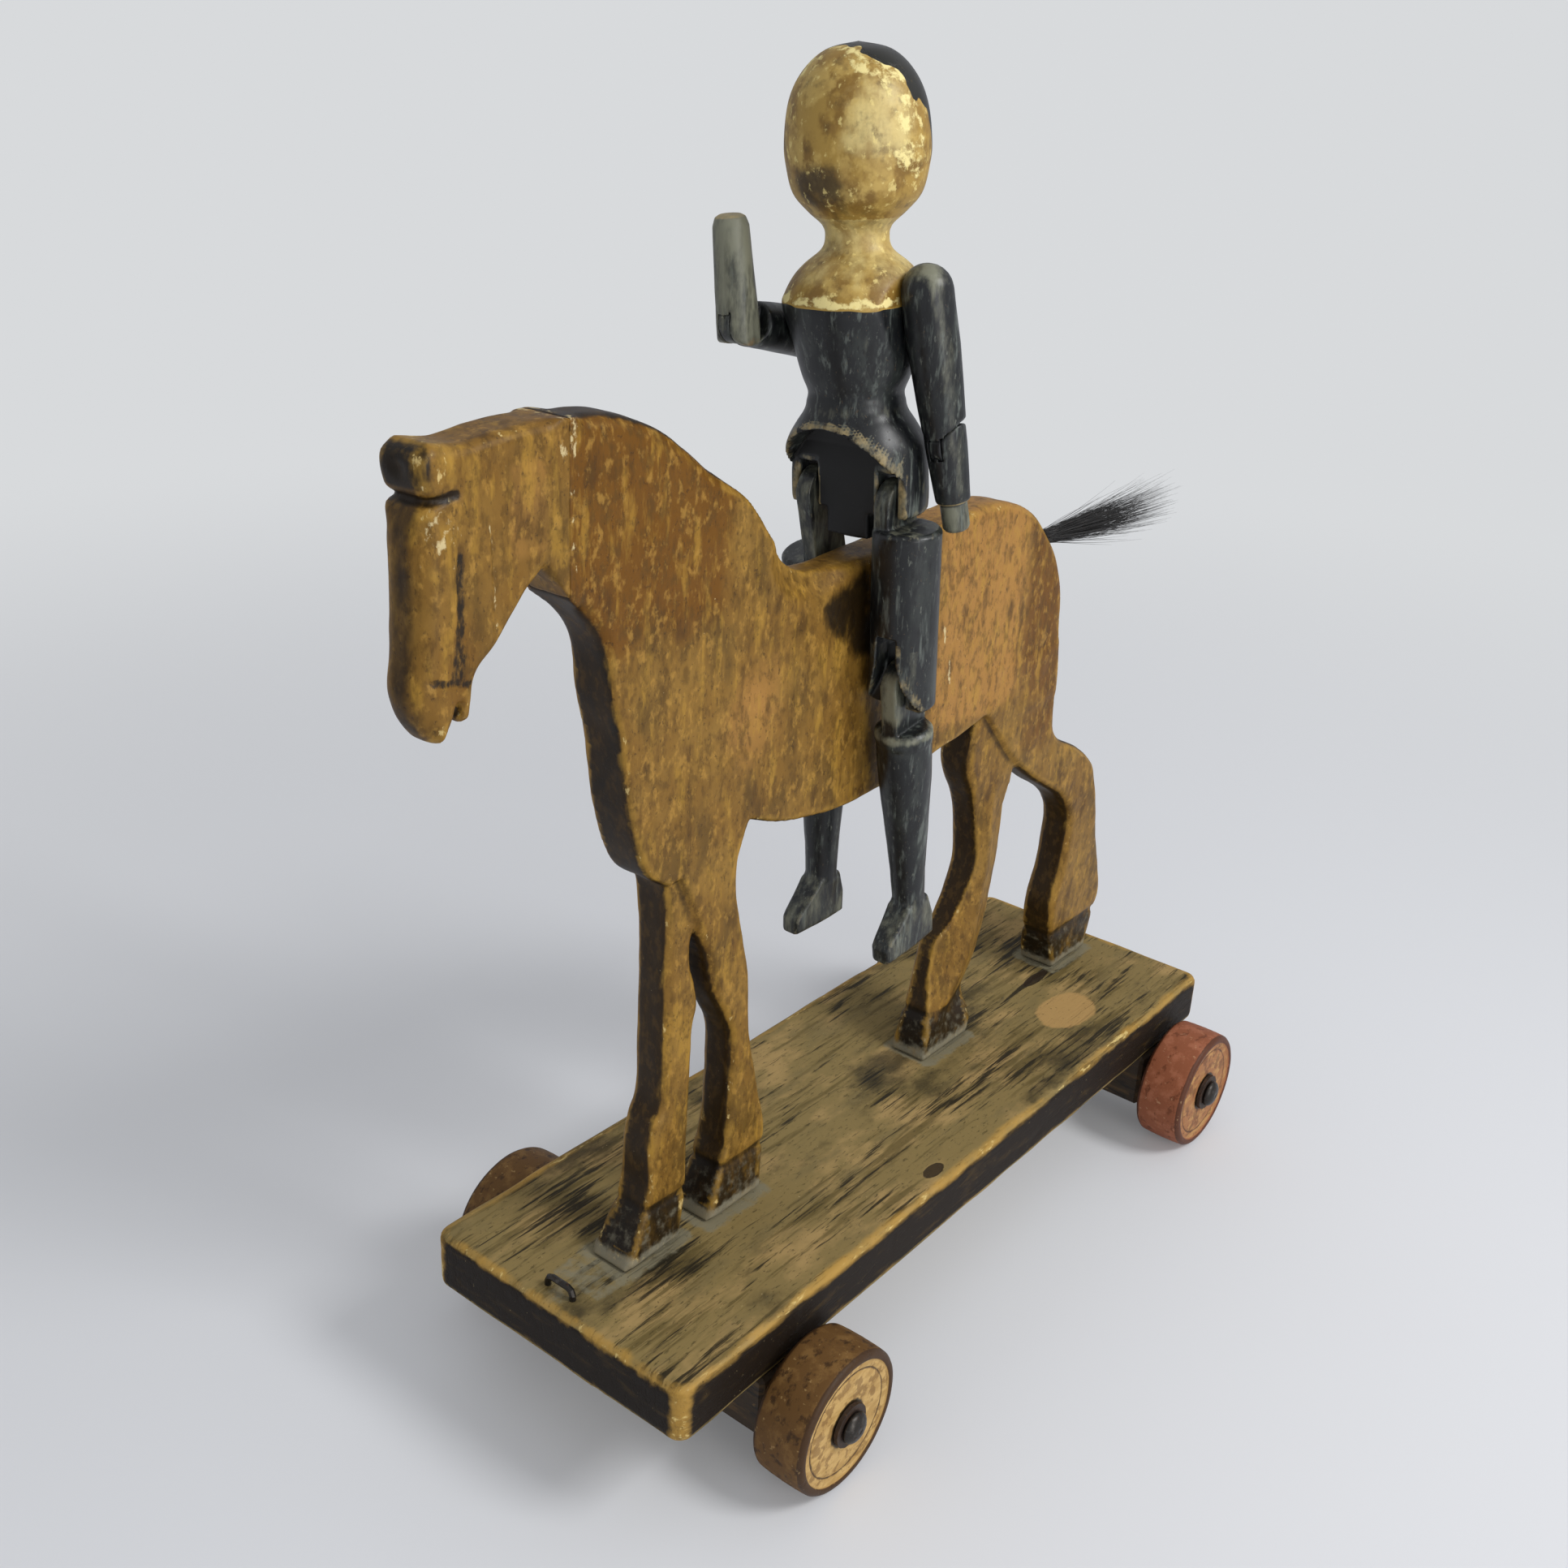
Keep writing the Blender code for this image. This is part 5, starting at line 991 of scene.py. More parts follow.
@dataclass
class Board:
    """The base board, with rounded corners and arrises rubbed away."""

    length: float = 242.7
    width: float = 80.0
    thickness: float = 15.35
    corner: float = 4.0
    pitch: float = 0.85

    def build(self) -> None:
        """Plane the board."""
        half = (self.length / 2 + 1.5, self.width / 2 + 1.5)
        plank = Carving("worn_base_board", (-half[0], -half[1], -self.thickness - 1.5),
                        (half[0], half[1], 1.5), self.pitch)
        dress(plank.build(self.distance, self.marks), BOARD_PAINT, Slot.DECK,
              "horse_and_board", "base_board")

    def distance(self, spot: Spot) -> np.ndarray:
        """Round a rectangle's corners and give it a thickness with worn arrises."""
        x, y, z = spot
        u = np.abs(x) - self.length / 2 + self.corner
        v = np.abs(y) - self.width / 2 + self.corner
        flat = (np.hypot(np.maximum(u, 0), np.maximum(v, 0))
                + np.minimum(np.maximum(u, v), 0) - self.corner)
        nibble = rough_noise((x, y, z * 0), 11.0, 21)
        edge = 2.1 + 0.6 * nibble
        shape = sawn(flat, z + self.thickness / 2, self.thickness / 2, edge)
        dent = np.maximum(0, rough_noise(spot, 5.0, 23) - 0.55) * 0.5
        return shape + 0.05 * rough_noise(spot, 14.0, 22) + dent * between(flat, -4, 0)

    def marks(self, spot: Spot, marks: Marks) -> Marks:
        """Place the board's worn arrises, dust, patches and stains, and painted shade on its edge
        faces.
        """
        x, y, z = spot
        # side: the board's edge faces, darkened as painted shade
        side = between(1 - np.abs(marks["nz"]), 0.3, 0.8)
        top = between(z, -1.2, -0.2)
        long_edge = fading(np.abs(self.width / 2 - np.abs(y)), 1.2, 4.2) * top
        long_edge *= 0.48 + 0.22 * between(-x, 20, 100)
        ends = fading(self.length / 2 - np.abs(x), 0.8, 2.6) * top * 0.42
        corner = np.hypot(np.abs(x) - self.length / 2, np.abs(y) - self.width / 2)
        wear = most(arris(marks, 0.5, 1) * 0.8 * (0.45 + 0.55 * between(z, -12, -8)),
                    long_edge, ends, 0.95 * fading(corner, 2.0, 5.5))
        hooves = [(65.9, 1.2), (92.8, -1.0), (-101.0, -2.3), (-29.8, -0.9)]
        dust = np.zeros_like(x)
        for hx, hy in hooves:
            gap = np.hypot(np.maximum(np.abs(x - hx) - 9.8, 0),
                           np.maximum(np.abs(y - hy) - 6.2, 0))
            dust = np.maximum(dust, 0.85 * fading(gap, 0.8, 5.0))
        staple = np.hypot(x - 116, y + 2.2)
        dust = np.maximum(dust, 0.6 * fading(staple, 2, 8)) * top
        sheet = outline_distance(x, y, np.array([(113, -9), (113, 7), (100, 8), (100, -10)]))
        dust = np.maximum(dust, 0.62 * between(-sheet, -1, 1) * top)
        patch = 1.1 - np.hypot((x + 72) / 15.0, (y - 20) / 10.0)
        patch = np.clip(patch * 1.6, 0, 1) * top
        scar = np.clip((1.15 - np.hypot((x + 82) / 8.0, (y - 3) / 2.2)) * 1.6, 0, 1)
        knot = np.clip((1.2 - np.hypot((x - 20.5) / 4.5, (y - 35) / 2.2)) * 1.6, 0, 1)
        scar = np.maximum(scar, knot) * top
        grime = 0.36 * top + 0.12 * top * rough_noise((x, y, z * 0), 30.0, 31)
        worn = 0.49 + 0.10 * rough_noise((x * 0.6, y, z * 0), 11.0, 32)
        worn = worn - 0.05 * hump(x, 5, 40)
        return kept(marks, side=side, wear=wear, dust=dust, patch=patch, scar=scar, grime=grime,
                    worn=worn)


def ring_grid(profile: np.ndarray, steps: int, wobble: float = 0.0,
              seed: int = 0) -> tuple[np.ndarray, np.ndarray]:
    """Carry a closed profile round the Y axis: radius and height turned through every angle.

    Args:
        profile: Closed (radius, height) outline.
        steps: Number of angles.
        wobble: How far the radius strays, in millimetres.
        seed: Seed of the straying.

    Returns:
        Vertices and quads whose normals point out of the profile.
    """
    angle = np.arange(steps) * 2 * math.pi / steps
    rng = np.random.default_rng(seed)
    stray = sum(rng.normal(0, wobble / (k + 1)) * np.cos(k * angle + rng.uniform(0, 6.28))
                for k in range(2, 7))
    radius = profile[:, 0][:, None] * (1 + stray[None] / 18.0)
    height = np.broadcast_to(profile[:, 1][:, None], radius.shape)
    spots = np.stack([radius * np.cos(angle), height, radius * np.sin(angle)], -1)
    rows = np.arange(len(profile))[:, None]
    turns = np.arange(steps)[None]
    ahead, over = (rows + 1) % len(profile), (turns + 1) % steps
    quads = np.stack([rows * steps + turns, rows * steps + over, ahead * steps + over,
                      ahead * steps + turns], -1)
    return spots.reshape(-1, 3), quads.reshape(-1, 4)


@dataclass
class Wheel:
    """A turned wheel: crowned tread, rim band, scored ring and shallow dish."""

    radius: float = 18.1
    width: float = 14.3
    bore: float = 2.0
    rim: float = 2.2
    dish: float = 0.6
    steps: int = 112

    def profile(self) -> np.ndarray:
        """Lay out the wheel's outline, from the bore over one face and the tread and back."""
        half = self.width / 2
        inner = np.linspace(self.bore, self.radius - self.rim - 0.5, 22)
        scored = self.dish + 0.28 * hump(inner, 13.4, 0.35)
        scored += 0.12 * hump(inner, 7.2, 0.3)
        face = np.stack([inner, half - scored], 1)
        band = [(self.radius - self.rim, half - 0.05), (self.radius - self.rim + 0.3, half),
                (self.radius - 1.3, half - 0.02), (self.radius - 0.7, half - 0.35),
                (self.radius - 0.3, half - 0.9)]
        across = np.linspace(half - 1.6, 0, 9)
        tread = np.stack([self.radius - 0.3 * (across / half) ** 2
                          - 0.05 * np.abs(np.sin(across * 2.7)), across], 1)
        upper = np.concatenate([face, band, tread])
        lower = upper[:-1][::-1] * [1, -1]
        return np.concatenate([upper, lower])

    def build(self, name: str, body: str, place: Point, finish: Finish, seed: int) -> None:
        """Turn one wheel and place it.

        Args:
            name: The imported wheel's node.
            body: The body that it rides on.
            place: The wheel's centre in the toy's frame.
            finish: Its finish.
            seed: Seed of its slight wobble.
        """
        spots, faces = ring_grid(self.profile(), self.steps, 0.12, seed)
        spots[:, 1] += 0.05 * rough_noise(tuple(spots.T), 5.0, seed + 40)
        radius = np.hypot(spots[:, 0], spots[:, 2])
        on_face = np.abs(spots[:, 1]) > self.width / 2 - 1.1
        edge = self.radius - self.rim
        face = on_face * fading(radius, edge - 0.4, edge)
        ring = on_face * between(radius, edge - 0.5, edge)
        ring = np.maximum(0.8 * ring, 0.8 * hump(radius, 13.4, 0.5) * on_face)
        halo = fading(radius, 5.0, 7.4) * on_face
        wear = hump(radius - self.radius, -0.5, 0.5) * 0.7
        made = mesh_object(f"turned_{name}", spots, faces, shift(*place),
                           {"face": face, "ring": ring, "halo": halo, "wear": wear})
        dress(made, finish, Slot.WHEEL, body, name)


@dataclass
class AxleNail:
    """A forged axle nail: domed, slightly faceted head on a round shank."""

    shank: float = 1.7
    reach: float = 40.4
    head: float = 4.0
    height: float = 2.3

    def build(self, name: str, body: str, place: Point, sign: int) -> None:
        """Forge one nail, head outwards.

        Args:
            name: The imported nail's node.
            body: The body that it belongs to.
            place: The middle of the head's seat in the toy's frame.
            sign: 1 where the head looks along +Y, -1 along -Y.
        """
        turn = np.linspace(0, math.pi / 2, 9)
        dome = np.stack([self.head * np.cos(turn) ** 0.8, 0.35 + (self.height - 0.35)
                         * np.sin(turn)], 1)[::-1]
        dome[0, 0] = 0.02
        foot = np.array([(self.head * 0.94, 0.0), (self.shank, 0.0),
                         (self.shank, 2.0 - self.reach), (0.5, 0.2 - self.reach),
                         (0.02, 0.1 - self.reach)])
        spots, faces = ring_grid(np.concatenate([dome, foot]), 28, 0.4, 7)
        frame = shift(*place)
        if sign < 0:
            frame = frame @ turning("Z", 180)
        made = mesh_object(f"forged_{name}", spots, faces, frame)
        dress(made, IRON, Slot.IRON, body, name)


@dataclass
class RunningGear:
    """Wheels and nails on the two axle blocks."""

    front: float = 82.7
    rear: float = -98.5
    drop: float = -24.9
    wheel_y: float = 49.85
    seat_y: float = 58.0

    def build(self, bodies: dict[str, str]) -> None:
        """Place the four wheels and their nails."""
        for row, x in (("front", self.front), ("rear", self.rear)):
            finish = WHEEL_PAINT if row == "front" else RED_WHEEL_PAINT
            for side in Side:
                sign = side.value
                name = f"{row}_{side.name.lower()}"
                wheel = f"{name}_wheel"
                Wheel().build(wheel, bodies[wheel], (x, sign * self.wheel_y, self.drop),
                              finish, 3 + sign + (x > 0))
                nail = f"{name}_axle_nail"
                AxleNail().build(nail, bodies[nail], (x, sign * self.seat_y, self.drop), sign)


# ---------------------------------------------------------------- the rider


def turned_distance(spot: Spot, profile: Line, pitch: float) -> np.ndarray:
    """Work out the distance to a shape turned about the upright axis.

    The distance to the mirrored (radius, height) outline is worked out on a flat lattice
    and read off by straight interpolation at each point's radius.

    Args:
        spot: Lattice coordinates.
        profile: Radius and height from the bottom pole to the top pole.
        pitch: The lattice's pitch.

    Returns:
        Signed distances.
    """
    x, y, z = spot
    radius = np.hypot(x, y)
    right = np.array(profile)
    outline = np.concatenate([right, (right * [-1, 1])[::-1]])
    line = np.arange(0, float(radius.max()) + 2 * pitch, pitch / 2)
    flat = outline_distance(*np.meshgrid(line, z.ravel(), indexing="ij"), outline)
    at = radius[:, :, 0] / (pitch / 2)
    low = np.minimum(at.astype(int), len(line) - 2)
    part = (at - low)[..., None]
    return (flat[low] * (1 - part) + flat[low + 1] * part).astype(np.float32)


def tongue_distance(spot: Spot, thickness: float, radius: float, shoulder: float,
                    offset: float = 0.0, up: bool = True) -> np.ndarray:
    """Work out the distance to a joint's flat tongue, round about its pivot."""
    x, y, z = spot
    level = z if up else -z
    disc = np.hypot(x, level) - radius
    strap = np.maximum(np.abs(x) - radius, np.maximum(level, -shoulder - level))
    return np.maximum(np.minimum(disc, strap), np.abs(y - offset) - thickness / 2)


# Each arm's swing, splay and elbow bend in degrees, and the length of its forearm.
ARMS = {Side.LEFT: (-8.5, 4.5, 0.0, 19.7), Side.RIGHT: (102.4, 3.0, 74.1, 22.2)}
# Each leg's swing at the hip and turn of its shin in degrees, the depth of its hip tongue's
# shoulder, and the length from hip to knee.
LEGS = {Side.LEFT: (4.45, 9.8, 4.7, 42.5), Side.RIGHT: (15.0, 3.0, 16.5, 46.0)}


@dataclass
class Rider:
    """The jointed wooden rider: torso and head in one, arms, thighs and lower legs."""

    seat: Point = (25.0, 0.0, 169.5)
    lean_right: float = 2.3
    lean_forward: float = 2.5
    thigh_y: float = 14.35
    hip_slot_y: float = 11.0
    thigh_radius: float = 7.8
    ankle: float = -61.6
    elbow: float = 21.4
    elbow_radius: float = 4.7
    lift: float = 0.4415
    shoulder: Point = (-3.5, 17.8, 34.1)
    profile: list = field(default_factory=lambda: [
        (-2.6, 15.7), (-1.9, 16.3), (2.5, 16.4), (7, 16.2), (11, 15.9), (14, 14.9), (17, 13.1),
        (19.2, 11.4), (20.5, 11.0), (23.5, 9.9), (27.2, 11.1), (30.7, 12.4), (36, 14.4),
        (42, 16.2), (44.5, 15.5), (47.8, 13.6), (50.5, 11.1), (53.3, 7.7), (55.8, 6.9),
        (58.1, 7.4), (60.9, 10.5), (64.5, 13.6), (69.7, 15.0), (74.5, 15.4), (82.5, 14.3),
        (88.1, 11.4), (92.1, 6.6), (93.6, 0)])

    def lean(self) -> np.ndarray:
        """Return the torso's frame."""
        return (shift(*self.seat) @ turning("Y", self.lean_forward)
                @ turning("X", self.lean_right))

    def build(self, bodies: dict[str, str]) -> None:
        """Make every part of the rider."""
        torso = Carving("rider_torso_and_head", (-18, -18, -10.5), (18, 18, 95.5), 0.5,
                        self.lean(), 0.5)
        dress(torso.build(self.torso_field, self.torso_marks), BLACK_PAINT, Slot.BLACK,
              bodies["rider_torso"], "rider_torso")
        for side in Side:
            self.arm(side, bodies)
            self.leg(side, bodies)

    @staticmethod
    def carve(node: str, bodies: dict[str, str], low: Point, high: Point, pitch: float,
              frame: np.ndarray, distance: Callable, painted: Callable) -> None:
        """Carve one limb in its own frame, in black paint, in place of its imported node."""
        made = Carving(f"{node}_carved", low, high, pitch, frame, pitch)
        dress(made.build(distance, painted), BLACK_PAINT, Slot.BLACK, bodies[node], node)

    def torso_field(self, spot: Spot) -> np.ndarray:
        """Turn the torso, then cut its arch, hip slots and bust flats as the carver did.

        The waist swells towards the rider's left.
        """
        x, y, z = spot
        smooth = smooth_line([(r, h) for h, r in self.profile], 0.8)
        outline = [(0, -2.6), *map(tuple, smooth), (0, 93.6)]
        swell = 1.1 * hump(z, 26.5, 6.5)
        shape = turned_distance((x, y - swell, z), outline, 0.5) - 0.8 * swell
        core = block_field(spot, (-6.0, -5.8, -8.5), (14.0, 5.8, 4.0), 0.4)
        core = np.maximum(core, np.hypot(x, y) - 16.2)
        shape = np.minimum(shape, core)
        arch = np.hypot(y / 17.0, (z + 1.5) / 18.4) - 1
        arch = np.where(z > -1.5, arch * 15.0, np.abs(y) - 17.0)
        arch = np.maximum(arch, 3.5 + 0.35 * np.maximum(z - 12, 0) - x)
        shape = cut(shape, arch, 0.5)
        for side in Side:
            slot = np.maximum(np.abs(y - side.value * self.hip_slot_y) - 2.6, z - 7.0)
            shape = cut(shape, slot, 0.3)
            flat = np.maximum(13.0 - side.value * y, np.abs(z - 37.1) - 14.4)
            shape = cut(shape, flat, 0.5)
        groove = hump(z, 20.6, 0.7) * 0.22
        return shape + groove + 0.1 * rough_noise(spot, 6.0, 51) + 0.04

    def torso_marks(self, spot: Spot, marks: Marks) -> Marks:
        """Place the gilded face and bust, the painted hair, flakes, smudges, pale rims, painted
        highlights on the face and painted shade under the head and in its recesses.
        """
        x, y, z = spot
        edge = 42.6 + 0.5 * rough_noise(spot, 4.0, 61)
        gold = between(z, edge - 0.4, edge + 0.4)
        flake = 0.80 * hump(z, 43.9, 1.9) * between(x + 0.3 * y, -6, 2)
        angle = np.degrees(np.arctan2(np.abs(y), x))
        parting = 0.74 * z + 0.36 * np.abs(y) - 0.58 * x + 1.5 * rough_noise(spot, 4.0, 62)
        parting = parting + 0.9 * rough_noise(spot, 1.8, 64)
        start = np.interp(z, [58, 66, 75, 84, 93], [148, 132, 116, 104, 96])
        hair = most(between(angle, start - 6, start + 6) * between(z, 56.5, 60),
                    between(parting, 65.9, 67.6))
        # brow and shine: a painted highlight along the brow under the hairline, laid into the
        # flake mark
        brow = between(parting, 60.0, 63.5) * between(x, -6, 2)
        shine = brow * (0.72 + 0.35 * rough_noise(spot, 7.0, 63))
        cheek = between(y, 12, 14.5) * between(z, 62, 67) * between(x, -8, 0) * 0.62
        neck = 0.30 * between(z, 48, 52) * fading(z, 59, 62)
        flake = most(flake, shine, cheek, neck)
        # Two dark smudges on the face; the later terms are painted shade, low on the head's right
        # side and under the chin
        low_cheek = np.hypot((y - 0.5) / 8.5, (z - 66.0) / 6.0)
        spot_mark = np.hypot((y - 9.0) / 2.8, (z - 76.0) / 2.6)
        smudge = most(fading(low_cheek, 0.3, 1.4), 0.55 * fading(spot_mark, 0.3, 1.4))
        smudge = most(smudge * between(x, 1, 6), 0.8 * between(-y, 8.5, 14) * between(z, 56, 62),
                      0.45 * (z > 56) * fading(z, 60, 67))
        # Painted highlight: the face lightens where its normal turns towards the lights; the bust
        # and neck get a paler gilt
        facing = marks["nx"] * 0.55 + marks["ny"] * 0.83
        bright = most(between(facing, 0.60, 1.0) * between(z, 66, 76) * 0.85,
                      0.7 * (z < 60) * between(z, 42, 52)) * gold
        rim = arris(marks, 1.1, 0.9) * (z < 21) * between(x, 1.0, 3.0)
        slots = arris(marks, 0.9, 1) * (z < 8.5) * 0.45
        # inside: the back wall of the hip arch and the core block between the thighs, painted
        # deeper black as painted shade
        low = fading(z, 16.0, 17.5) * (x < 5.0) * (x > 2.2) * (np.hypot(x, y) < 14.8)
        inside = low * (np.abs(marks["nx"]) > 0.5) * (np.abs(y) < 15) * (1 - rim)
        core = (np.abs(y) < 7.6) * (z < 16.6) * (x > 1) * (np.hypot(x, y) < 15.6) * 1.0
        inside = np.maximum(inside, core)
        waist = hump(z, 20.5, 2.2) * 0.5
        return kept(marks, gold=gold, flake=flake * gold, hair=hair, smudge=smudge * gold,
                    rim=np.maximum(rim, slots), inside=inside, bloom=np.maximum(waist, 0.3),
                    bright=bright, wear=arris(marks, 0.9, 1) * (z < 42))

    def arm(self, side: Side, bodies: dict[str, str]) -> None:
        """Carve one arm: upper arm with its tongue, and forearm with its fork."""
        sign = side.value
        name = side.name.lower()
        swing, splay, bend, length = ARMS[side]
        sx, sy, sz = self.shoulder
        pivot = self.lean() @ shift(sx, sign * sy, sz) @ turning("Y", -swing)
        upper_frame = pivot @ turning("X", sign * splay)
        elbow_frame = upper_frame @ shift(0, 0, -self.elbow) @ turning("Y", -bend)
        flat = np.linalg.inv(pivot) @ upper_frame

        def upper(spot: Spot) -> np.ndarray:
            """Turn the upper arm, add its tongue and flatten it towards the bust.

            A round hub on the tongue fills the forearm's fork, and a skirt closes the arm's
            end on the side away from the elbow's bend.
            """
            x, y, z = spot
            radius, end, crown = 5.7, -16.4, 17.4
            outline = [(0, end), (4.4, end), (5.0, end + 0.6), (radius, 0),
                       (radius, crown - radius)]
            outline += [(radius * math.cos(a), crown - radius + radius * math.sin(a))
                        for a in np.radians([15, 30, 45, 60, 75])] + [(0, crown)]
            shape = turned_distance(spot, outline, 0.4)
            below = z + self.elbow
            knuckle = tongue_distance((x, y, below), 3.0, 3.6, 6.5, up=False)
            hub = np.maximum(np.hypot(x, below) - 4.6, np.abs(y) - 1.5)
            shape = joined(shape, np.minimum(knuckle, hub), 0.3)
            skirt = np.maximum(np.hypot(x, y) - 4.95, np.maximum(z + 15.0, -21.0 - z))
            skirt = np.maximum(skirt, 5.0 - np.hypot(x, below))
            shape = np.minimum(shape, np.maximum(skirt, 0.5 - sign * x))
            across = flat[1, 1] * y + flat[1, 2] * z
            shape = np.maximum(shape, -sign * across - 4.5)
            return shape + 0.06 * rough_noise(spot, 4.0, 71 + sign)

        def upper_marks(spot: Spot, marks: Marks) -> Marks:
            """Bloom on the rounded top, a painted highlight along the left arm, pale at the
            elbow's shoulder.
            """
            x, y, z = spot
            # rubbed: a band down the left arm's front, painted lighter as a painted highlight
            # where its gloss reflection falls
            rubbed = hump(np.degrees(np.arctan2(y, x)), 62, 26)
            bloom = 0.55 * between(z, 11, 17) + 0.15 + 0.45 * rubbed * (sign > 0)
            bloom = np.maximum(bloom, 0.62 * (z < -16.8) * (sign < 0))
            return kept(marks, bloom=bloom, wear=arris(marks, 1.2, 0.6) * (z > -14))

        self.carve(f"{name}_upper_arm", bodies, (-7, -7, -27), (7, 7, 19), 0.4, upper_frame,
                   upper, upper_marks)

        def fore(spot: Spot) -> np.ndarray:
            """Turn the forearm and saw the fork that takes the elbow's tongue.

            The fork's floor is round about the pivot, and square on the side that the elbow
            bends to.
            """
            x, y, z = spot
            knob = self.elbow_radius
            if side is Side.LEFT:
                outline = [(0, -length), (2.5, -length), (3.1, -length + 0.9),
                           (3.1, -length + 6.6), (3.9, -length + 7.0)]
            else:
                outline = [(0, -length), (2.3, -length), (3.3, -length + 0.6),
                           (3.9, -length + 2.3)]
            outline += [(knob, 0), (knob, knob), (0, knob)]
            shape = turned_distance(spot, outline, 0.4)
            shape = np.maximum(shape, np.where(z > 0, np.hypot(x, z) - knob, -9.0))
            if side is Side.LEFT:
                palm = np.maximum(np.abs(y) - 2.5, z + length - 6.6)
                shape = np.where(z < -length + 6.4, np.maximum(shape, palm), shape)
            room = np.minimum(np.hypot(x, z) - (knob + 0.05), np.maximum(sign * x, -knob - z))
            slot = np.maximum(np.abs(y) - 1.7, np.minimum(room, -z))
            inner = 3.9 if side is Side.LEFT else 4.3 + 0.4 * between(-z, 6, 14)
            shape = np.maximum(shape, -sign * y - inner)
            return cut(shape, slot, 0.2) + 0.05 * rough_noise(spot, 3.5, 81 + sign)

        def fore_marks(spot: Spot, marks: Marks) -> Marks:
            """Grey-olive bloom, a painted highlight down the left forearm, tan at the right elbow
            and a mottled grey left hand.
            """
            x, y, z = spot
            hand = fading(z, -length + 6.0, -length + 6.8)
            if side is Side.LEFT:
                # rubbed: a painted highlight down the left forearm, where its gloss reflection
                # falls
                rubbed = hump(np.degrees(np.arctan2(y, x)), 62, 26)
                bloom = 0.15 + 0.6 * hand + 0.45 * rubbed * (1 - hand)
                rim = 1.1 * hump(z + length, 6.9, 0.45)
                bare = 0 * z
            else:
                bloom = 0.80 + 0.25 * fading(z, -length, -length + 12)
                rim = 1.1 * fading(z, -length + 0.3, -length + 1.4)
                bare = 0.62 * between(z - 0.3 * np.abs(x), 0.5, 4.0)
            return kept(marks, bloom=bloom, rim=rim, bare=bare,
                        wear=arris(marks, 1.2, 0.8) * (z < -7))

        self.carve(f"{name}_forearm", bodies, (-6, -6, -length - 1.5), (6, 6, 6), 0.35,
                   elbow_frame, fore, fore_marks)

    def leg(self, side: Side, bodies: dict[str, str]) -> None:
        """Carve one leg: thigh with hip tongue and knee slot, and lower leg with its foot."""
        sign = side.value
        name = side.name.lower()
        swing, shin, shoulder, length = LEGS[side]
        hip = (shift(*self.seat) @ shift(0, sign * self.thigh_y, sign * self.lift)
               @ turning("Y", swing))
        knee = hip @ shift(0, 0, -length) @ turning("Y", shin - swing)
        offset = -sign * (self.thigh_y - self.hip_slot_y)
        radius = self.thigh_radius
        bottom = -length - 5.0

        def thigh(spot: Spot) -> np.ndarray:
            """Turn the thigh, add its tongue, saw the knee slot and scoop the bell above it."""
            x, y, z = spot
            outline = [(0, bottom), (7.0, bottom), (radius, bottom + 0.8),
                       (radius, -shoulder - 0.8), (7.0, -shoulder), (0, -shoulder)]
            shape = turned_distance(spot, outline, 0.45)
            shape = joined(shape, tongue_distance(spot, 4.0, 5.6, shoulder + 4.0, offset), 0.3)
            up = z + length
            top = 10.5 + 0.4 * x
            slot = np.maximum(np.abs(y) - 2.6, up - top)
            shape = cut(shape, slot, 0.25)
            share = np.clip((10.5 - up) / 15.8, 0, 1)
            bell = np.maximum(np.abs(y) - (2.6 + 5.2 * share ** 2), up - 10.5)
            bell = np.maximum(bell, 2.6 - x)
            return cut(shape, bell, 0.3) + 0.06 * rough_noise(spot, 4.5, 91 + sign)

        def thigh_marks(spot: Spot, marks: Marks) -> Marks:
            """Pale rims at the top and round the knee's bell, and painted shade, deeper black,
            inside the slot.
            """
            x, y, z = spot
            up = z + length
            rim = arris(marks, 0.9, 1) * (up < 12.5) * (x > 1.5) * 0.8
            # inside: the knee slot's walls, painted deeper black as painted shade
            inside = (np.abs(y) < 3.0) * (up < 10) * (x < 2.2) * (x > -7.3) * (
                np.abs(marks["ny"]) > 0.6)
            bloom = 0.35 * between(x, 2.4, 3.2) * (up < 11) + 0.15
            strap = (z > -shoulder) * 0.62
            return kept(marks, rim=rim, inside=inside * 1.0, bloom=np.maximum(bloom, strap),
                        wear=arris(marks, 1.2, 0.8))

        self.carve(f"{name}_thigh", bodies, (-9, -9.5, bottom - 1.2), (9, 9.5, 7), 0.4, hip,
                   thigh, thigh_marks)
        sole = self.ankle - 11.6

        def lower(spot: Spot) -> np.ndarray:
            """Turn the shin with its knee ring, add the tongue and whittle the foot."""
            x, y, _ = spot
            outline = [(0, -65.6), (3.2, -65.6), (4.0, self.ankle), (4.4, -51.6), (5.68, -34.6),
                       (6.35, -26.0), (6.6, -20.0), (6.7, -15.2), (7.0, -14.2), (7.0, -12.0),
                       (6.0, -11.0), (0, -11.0)]
            shape = turned_distance(spot, outline, 0.45)
            shape = joined(shape, tongue_distance(spot, 4.4, 5.8, 13.0), 0.25)
            toe = np.array([(-5.8, sole), (-5.8, sole + 6.5), (-4.2, sole + 12.5),
                            (4.2, sole + 12.5), (7.8, sole + 8.9), (11.6, sole + 5.8),
                            (12.9, sole + 4.2), (12.9, sole)])
            flat = held(spot, outline_distance, toe)
            half = 3.8 - 0.035 * np.maximum(x, 0) ** 1.3
            shape = joined(shape, sawn(flat, y, half, 1.5), 1.2)
            return shape + 0.06 * rough_noise(spot, 4.0, 101 + sign)

